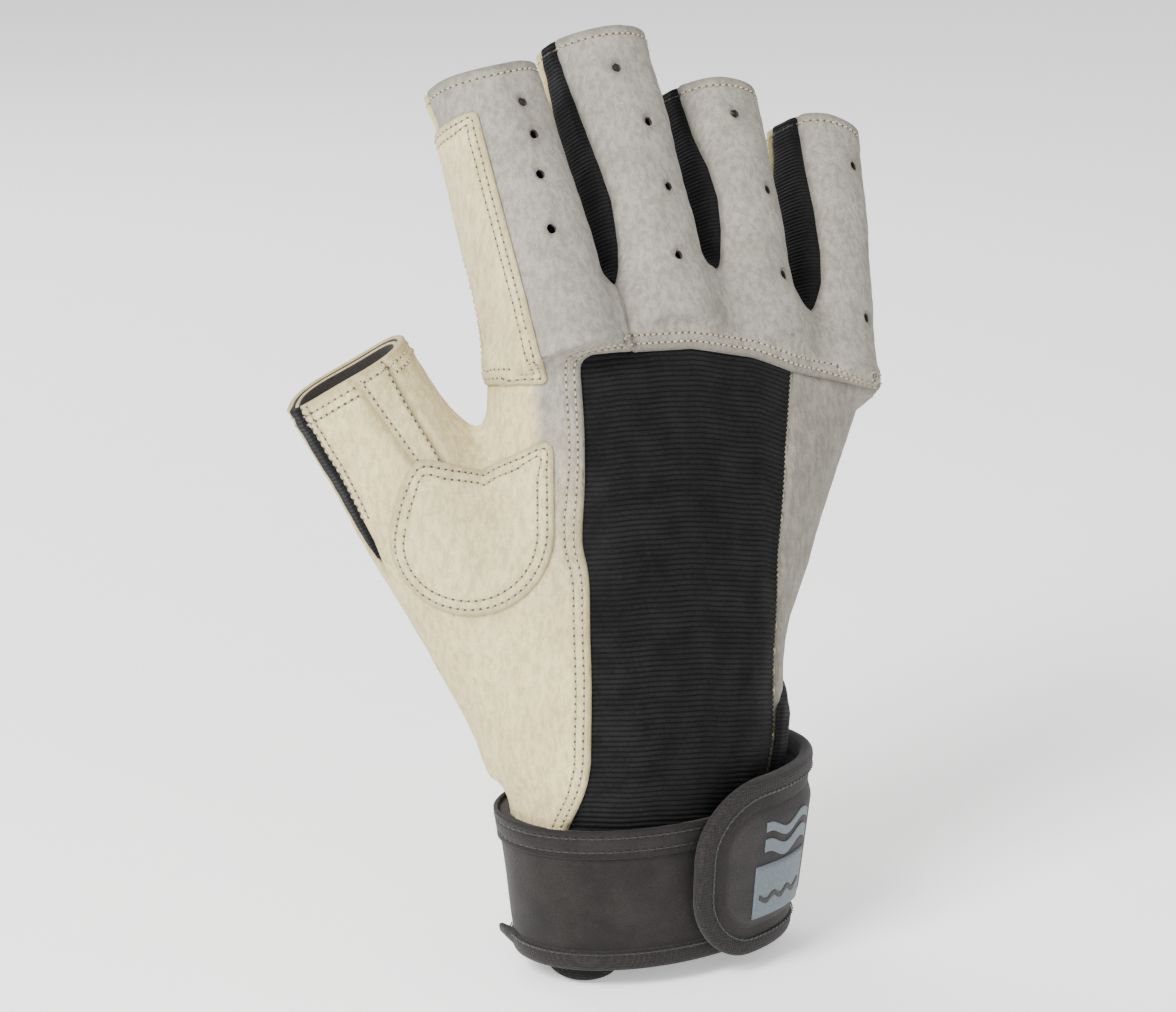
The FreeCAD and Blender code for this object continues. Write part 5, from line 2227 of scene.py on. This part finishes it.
@dataclass
class CuffAndStrap:
    """The foam rubber cuff with its tapes, pull tab and closing strap."""

    shop: Workshop
    finishes: Finishes
    hinge_turn: float = 8.0
    strap_end: float = -5.5
    strap_low: float = -1.0
    strap_high: float = 36.0
    corner: float = 15.0
    band_width: float = 4.2
    tab_turn: float = 207.0
    tail_turn: float = 157.0
    root_heights: tuple[float, float] = (2.6, 26.0)

    def make(self) -> None:
        """Makes every piece of the cuff and strap."""
        self.make_cuff()
        self.make_tab()
        self.make_strap()

    def make_cuff(self) -> None:
        """The band, its stitched upper fold and its bound lower edge."""
        f = self.finishes
        turn = np.arange(240)[None] * 360 / 240
        turns, heights = np.broadcast_arrays(turn, np.linspace(1.2, 27.9, 44)[:, None])
        soft = (0.16 * np.sin(np.radians(turns) * 3 + 0.4) * np.sin(heights * 0.16)
                + 0.12 * np.sin(np.radians(turns) * 7 + 1.0) * np.sin(heights * 0.28 + 0.5))
        hold = smooth_step(heights, 24.5, 23.2) * smooth_step(heights, 1.2, 6)
        made = cuff_band(turns, heights, -0.12 + soft * hold, 2.35, 0.0, True)
        self.shop.piece("cuff_band", made, [f.foam], "hand", "neoprene", ["cuff_band"])
        turns, heights = np.broadcast_arrays(turn, np.linspace(23.3, 28.7, 24)[:, None])
        row = np.exp(-(((heights - 24.5) / 0.45) ** 2)) + 0.6 * np.exp(-(((heights - 27.4) / 0.4) ** 2))
        notch = smooth_step(turns, 3, 6) * smooth_step(turns, 19, 16)     # where the strap's root turns
        made = cuff_band(turns, heights, 0.5 - 0.32 * row - 0.85 * notch, 0.75, 0.3, True)
        self.shop.piece("cuff_top_tape", made, [f.foam], "hand", "neoprene", ["cuff_top_tape"])
        turns, low = turn[0], 1.7
        normals = CuffFace.normal(turns, np.full_like(turns, low))
        binding = swept(CuffFace.point(turns, low, -1.2), normals, rounded_profile(4.6, 3.6, 24, 3.2), True)
        self.shop.piece("cuff_binding", binding.join(self.tail()), [f.tape], "hand", "edge_tape", ["cuff_binding"])
        self.stitched("cuff_binding", [self.ring(3.0, 0.62)], 1.5)
        self.stitched("cuff_top_tape", [self.ring(24.5, 0.25), self.ring(27.4, 0.38)], 1.7)

    def tail(self) -> Solid:
        """The corner where the binding's ends meet, which stands a little off the cuff.

        Returns:
            Its mesh.
        """
        turns = self.tail_turn + vec(14, 7, 0, -4)
        path = CuffFace.point(turns, vec(2.2, 2.3, 2.8, 3.5), vec(-0.6, -0.2, 0.9, 2.2))
        normals = CuffFace.normal(turns, np.full_like(turns, 2.0))
        size = vec(1.0, 1.0, 0.92, 0.78)
        made = swept(path, normals, rounded_profile(3.8, 1.5, 16, 3.0))
        points = made.points.reshape(4, 16, 3)
        made.points = (path[:, None] + (points - path[:, None]) * size[:, None, None]).reshape(-1, 3)
        return made

    def ring(self, height: float, offset: float) -> tuple[Array, Array]:
        """A loop round the cuff that stops at the strap's root, as points and normals."""
        turns = np.linspace(17, 365, 721)
        return CuffFace.point(turns, height, offset), CuffFace.normal(turns, np.full_like(turns, height))

    def stitched(self, name: str, loops: Sequence[tuple[Array, Array]], pitch: float, body: str = "hand") -> None:
        """Makes rows of dark stitches along lines of points with normals.

        Args:
            name: of the piece that they hold.
            loops: points and normals of each line.
            pitch: distance from one stitch to the next.
            body: the body that they ride with.
        """
        made = []
        for line, normals in loops:
            run = np.concatenate([[0], np.cumsum(np.linalg.norm(np.diff(line, axis=0), axis=1))])
            s = np.arange(int(run[-1] / pitch))[:, None] * pitch + np.linspace(0, Stitches.SHARE * pitch, 5)
            centre = np.stack([np.interp(s, run, line[:, k]) for k in range(3)], -1)
            normal = unit(np.stack([np.interp(s[:, 2], run, normals[:, k]) for k in range(3)], -1))
            made.append(Stitches(pitch=pitch, radius=0.16).made(centre, normal))
        f = self.finishes
        slot = "neoprene" if name == "cuff_top_tape" else "edge_tape"
        self.shop.piece(f"{name}_stitching", joined(made), [f.dark_thread, f.dark_stitch_hole_shade], body, slot)

    def make_tab(self) -> None:
        """The webbing pull tab inside the cuff's lower edge."""
        half, drop, rise = 7.5, 4.0, 9.0
        s = np.linspace(-1, 1, 25)[None]
        t = np.linspace(0, 1, 27)[:, None]
        low = -drop * np.sqrt(np.maximum(1 - s**2, 0)) ** 0.9
        heights = low + (rise - low) * t
        centre = CuffFace.point(self.tab_turn, 0, -3.3)
        per_degree = np.linalg.norm(CuffFace.point(self.tab_turn + 1, 0, -3.3) - centre)
        turns = self.tab_turn + s * half / per_degree + 0 * t
        made = cuff_band(turns, heights, -2.62 + 0 * heights, 1.3, 0.3)
        self.shop.piece("pull_tab", made, [self.finishes.tab], "hand", "edge_tape", ["pull_tab"])

    def strap_turn(self, run: Array, offset: float = 2.4) -> Array:
        """Turn round the cuff at a distance along the strap from its rounded end.

        Args:
            run: distances along the strap.
            offset: how far off the cuff's face.

        Returns:
            Degrees round the cuff.
        """
        turns = np.linspace(-125, self.hinge_turn + 60, 1500)
        points = CuffFace.point(turns, 14.25, offset)
        length = np.concatenate([[0], np.cumsum(np.linalg.norm(np.diff(points, axis=0), axis=1))])
        first = int(np.argmin(np.abs(points[:900, 0] - self.strap_end) + (points[:900, 1] > 0) * 99))
        return np.interp(run, length - length[first], turns)

    def strap_length(self) -> float:
        """Length of the strap from its rounded end to its hinge line."""
        runs = np.linspace(0, 90, 1801)
        return float(np.interp(self.hinge_turn, self.strap_turn(runs), runs))

    def outline(self, inset: float, length: float, steps: int = 14) -> tuple[Array, Array, Array]:
        """Columns of the strap's outline moved in from its edge: places along it, and low and high ends.

        Args:
            inset: distance in from the strap's edge.
            length: where the outline ends along the strap.
            steps: number of places on the rounded end.

        Returns:
            The places, low ends and high ends.
        """
        r = max(self.corner - inset, 1.5)
        arc = inset + r * (1 - np.cos(np.linspace(0, math.pi / 2, steps)))
        straight = np.linspace(inset + r, length, 44)[1:]
        run = np.concatenate([arc, straight])
        reach = np.where(run < inset + r, r - np.sqrt(np.maximum(r**2 - (inset + r - run) ** 2, 0)), 0)
        return run, self.strap_low + inset + reach, self.strap_high - inset - reach

    def strap_layer(self, inset: float, length: float, outer: float, thick: float, crown: float = 0.0,
                    roll: float = 0.2, rows: int = 26) -> Solid:
        """A layer of the strap.

        Args:
            inset: distance in from the strap's edge.
            length: where the layer ends along the strap.
            outer: the outer face's offset from the cuff's.
            thick: from the outer face to the inner one.
            crown: extra height away from the edge.
            roll: how far the rim bulges.
            rows: of points across the strap.

        Returns:
            The layer's mesh.
        """
        run, low, high = self.outline(inset, length)
        t = np.linspace(0, 1, rows)[:, None]
        heights = low[None] + (high - low)[None] * t
        runs = run[None] + 0 * t
        gap = np.minimum(np.minimum(heights - low[None], high[None] - heights), runs - inset)
        rise = crown * smooth_step(gap, -0.4, 3.0)
        return cuff_layer(self.strap_turn(runs), heights, outer + rise, outer - thick, roll, gap)

    def outline_path(self, inset: float, length: float, offset: float) -> tuple[Array, Array]:
        """The strap's outline as one line of points with normals: lower edge, rounded end and upper edge.

        Args:
            inset: distance in from the strap's edge.
            length: where the line ends along the strap.
            offset: how far off the cuff's face.

        Returns:
            Points and their normals.
        """
        run, low, high = self.outline(inset, length, 22)
        runs = np.concatenate([run[::-1], run])
        heights = np.concatenate([low[::-1], high])
        turns = self.strap_turn(runs)
        points = CuffFace.point(turns, heights, offset)
        keep = np.concatenate([[True], np.linalg.norm(np.diff(points, axis=0), axis=1) > 0.25])
        points, normals = points[keep], CuffFace.normal(turns, heights)[keep]
        length_run = np.concatenate([[0], np.cumsum(np.linalg.norm(np.diff(points, axis=0), axis=1))])
        s = np.linspace(0, length_run[-1], int(length_run[-1] / 0.9))
        points = np.stack([np.interp(s, length_run, points[:, k]) for k in range(3)], 1)
        normals = unit(np.stack([np.interp(s, length_run, normals[:, k]) for k in range(3)], 1))
        return points, normals

    def make_strap(self) -> None:
        """Loop patch, hook patch, band, edge tape, pad, badge and sewn anchor."""
        f = self.finishes
        full = self.strap_length()
        loop = self.strap_layer(7.0, full - 0.5, 0.75, 0.7, 0.0, 0.05)
        loop.points[:, 2] = np.clip(loop.points[:, 2], 4.3, 21.2)
        self.shop.piece("loop_patch", loop, [f.loops], "hand", "loop_fastener", ["loop_patch"])
        hook = self.strap_layer(7.0, full - 0.6, 1.98, 0.75, 0.0, 0.05)
        self.shop.piece("hook_patch", hook, [f.hooks], "strap", "hook_fastener", ["hook_patch"])
        band = self.strap_layer(2.2, full - 0.2, 3.98, 1.9, 0.12, 0.2)
        self.shop.piece("strap_band", band, [f.foam], "strap", "neoprene", ["strap_band"])
        path, normals = self.outline_path(self.band_width / 2 + 0.1, full - 0.2, 3.05)
        binding = swept(path, normals, rounded_profile(self.band_width, 2.9, 24, 2.9))
        self.shop.piece("strap_binding", binding, [f.tape], "strap", "edge_tape", ["strap_binding"])
        pad = self.strap_layer(6.4, full - 0.4, 4.1, 0.1, 1.0, 0.1, 34)
        pad_piece = self.shop.piece("strap_pad", pad, [f.pad], "strap", "neoprene", ["strap_pad"])
        self.stitched("strap_binding", [self.lifted(self.outline_path(3.5, full - 0.8, 4.35), 0.12)], 1.5, "strap")
        self.make_badge()
        self.make_anchor(full)
        self.make_fold(full)

    def lifted(self, line: tuple[Array, Array], rise: float) -> tuple[Array, Array]:
        """A line of points moved out along its normals."""
        points, normals = line
        return points + normals * rise, normals

    def print_patch(self, runs: Array, lows: Array, highs: Array, offset: float) -> Solid:
        """A thin raised print between two curves of height along the strap.

        Args:
            runs: distances along the strap.
            lows: heights of the lower curve.
            highs: heights of the upper curve.
            offset: how far off the cuff's face.

        Returns:
            The print's mesh.
        """
        rows = 9
        t = np.linspace(0, 1, rows)[:, None]
        heights = lows[None] + (highs - lows)[None] * t
        run = runs[None] + 0 * t
        return cuff_layer(self.strap_turn(run), heights, offset, offset - 0.3, 0.0, NO_EDGE)

    def make_badge(self) -> None:
        """A generic print: a block with two wave bands."""
        f = self.finishes
        start, end = 13.5, 31.0
        runs = np.linspace(start, end, 50)
        block = self.print_patch(runs, np.full(50, 7.5), np.full(50, 18.3), 5.32)
        top_runs = np.linspace(start + 2.0, end, 50)
        swell = 21.4 + 1.0 * np.sin((top_runs - start) * 0.55)
        upper = self.print_patch(top_runs, swell - 1.3, swell + 1.3, 5.32)
        swell = 25.2 + 1.0 * np.sin((top_runs - start) * 0.55)
        crest = self.print_patch(top_runs, swell - 0.9, swell + 0.9, 5.32)
        badge = block.join(upper).join(crest)
        self.shop.piece("strap_badge", badge, [f.badge], "strap", "badge", ["strap_badge"])
        runs = np.linspace(start + 1.4, end - 1.4, 50)
        swell = 11.2 + 0.55 * np.sin((runs - start) * 1.3)
        mark = self.print_patch(runs, swell - 0.55, swell + 0.55, 5.45)
        self.shop.piece("strap_badge_band", mark, [f.badge_mark], "strap", "badge")

    def make_anchor(self, full: float) -> None:
        """The strap's sewn root on the palm side.

        Args:
            full: distance along the strap from its rounded end to its hinge line.
        """
        low, high = self.root_heights
        near, far = full + 5.0, full + 26.5
        t = np.linspace(0, 1, 22)[:, None]
        run = np.linspace(near, far, 30)[None] + 0 * t
        heights = low + (high - low) * t + 0 * run
        gap = np.minimum(np.minimum(heights - low, high - heights), far - run)
        out = 2.75 - 0.35 * np.exp(-(((gap - 1.6) / 0.5) ** 2)) - 0.5 * np.exp(-((gap / 0.8) ** 2))
        made = cuff_layer(self.strap_turn(run), heights, out, 0.9, 0.25, gap)
        self.shop.piece("strap_anchor", made, [self.finishes.foam], "hand", "neoprene", ["strap_anchor"])
        inset, steps = 1.6, 40
        low, high, near, far = low + inset, high - inset, near + 1.0, far - 1.5
        line = np.concatenate([np.stack([np.linspace(near, far, steps), np.full(steps, low)], 1),
                               np.stack([np.full(steps, far), np.linspace(low, high, steps)], 1)[1:],
                               np.stack([np.linspace(far, near, steps), np.full(steps, high)], 1)[1:]])
        turns = self.strap_turn(line[:, 0])
        loop = (CuffFace.point(turns, line[:, 1], 2.5), CuffFace.normal(turns, line[:, 1]))
        self.stitched("strap_anchor", [loop], 1.7)

    def make_fold(self, full: float) -> None:
        """The fold that bridges the sewn root and the moving strap.

        Args:
            full: distance along the strap from its rounded end to its hinge line.
        """
        t = np.linspace(0, 1, 22)[:, None]
        run = np.linspace(full - 1.5, full + 6.0, 20)[None] + 0 * t
        share = smooth_step(run, full - 1.5, full + 6.0)
        low = self.strap_low + (self.root_heights[0] - self.strap_low) * share
        high = self.strap_high + (self.root_heights[1] - self.strap_high) * share
        heights = low + 1.2 + (high - low - 2.4) * t
        outer = 3.7 - 1.25 * share
        made = cuff_layer(self.strap_turn(run), heights, outer, outer - 1.3, 0.3, NO_EDGE)
        start, end = (CuffFace.point(self.strap_turn(vec(at)), 14.0, 2.5)[0] for at in (full + 4.5, full - 1.0))
        self.shop.piece("strap_fold", made, [self.finishes.foam], Bend("strap", start, end), "neoprene")


@dataclass
class Studio:
    """A pale floor, soft lights and the camera."""

    finishes: Finishes
    target: tuple[float, float, float] = (14.6, 13.1, 85.9)
    distance: float = 900.0
    lens: float = 137.8
    shift: tuple[float, float] = (-0.0612, -0.0136)

    def make(self, floor_height: float) -> None:
        """Makes everything round the glove.

        Args:
            floor_height: of the floor's top.
        """
        lean = math.radians(LEAN)
        out = FRONT * math.cos(lean) + vec(0, 0, math.sin(lean))
        place = np.array(self.target) + out * self.distance
        data = bpy.data.cameras.new("camera")
        data.lens, data.sensor_width = self.lens, 36.0
        data.shift_x, data.shift_y = self.shift
        data.clip_start, data.clip_end = 0.05, 20.0
        camera = bpy.data.objects.new("camera", data)
        bpy.context.scene.collection.objects.link(camera)
        camera.location = tuple(place * MM)
        basis = np.stack([ACROSS, np.cross(out, ACROSS), out], 1)
        camera.rotation_euler = Matrix(basis.tolist()).to_euler()
        bpy.context.scene.camera = camera
        self.light("key", vec(-0.95, -0.30, 0.75), 0.5, 30.0)
        self.light("fill", vec(-0.35, -1.05, 0.30), 0.8, 5.0)
        self.light("rim", vec(0.1, 0.95, 0.7), 0.7, 8.0)
        self.make_floor(floor_height)
        world = bpy.data.worlds.new("studio")
        world.use_nodes = True
        background = world.node_tree.nodes["Background"]
        background.inputs["Color"].default_value = (1.0, 1.0, 1.0, 1.0)
        background.inputs["Strength"].default_value = 0.72
        bpy.context.scene.world = world

    def light(self, name: str, place: Array, size: float, power: float) -> None:
        """Makes a square soft light that points at the glove.

        Args:
            name: of the light.
            place: where it stands.
            size: its width.
            power: in watts.
        """
        data = bpy.data.lights.new(name, "AREA")
        data.size, data.energy = size, power
        lamp = bpy.data.objects.new(name, data)
        bpy.context.scene.collection.objects.link(lamp)
        lamp.location = tuple(place + np.array(self.target) * MM)
        lamp.rotation_euler = Vector(tuple(-place)).to_track_quat("-Z", "Y").to_euler()

    def make_floor(self, height: float) -> None:
        """A large round floor.

        Args:
            height: of its top.
        """
        steps, radius = 64, 6.0
        turn = np.arange(steps) * 2 * math.pi / steps
        ring = [(radius * math.cos(a), radius * math.sin(a), height) for a in turn]
        mesh = bpy.data.meshes.new("floor")
        mesh.from_pydata(ring, [], [tuple(range(steps))])
        mesh.materials.append(self.finishes.floor)
        floor = bpy.data.objects.new("floor", mesh)
        bpy.context.scene.collection.objects.link(floor)
        floor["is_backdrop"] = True


def main() -> None:
    """Builds the glove and its surroundings."""
    logging.basicConfig(level=logging.INFO, format="%(name)s %(message)s")
    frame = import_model()
    cad_box = [list(corner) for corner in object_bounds()]
    finishes = Finishes()
    shop = Workshop()
    GlovePanels(shop, finishes).make()
    CuffAndStrap(shop, finishes).make()
    Studio(finishes).make(cad_box[0][2] - 0.0005)
    log.info("%d pieces", shop.count)


if __name__ == "__main__":
    main()
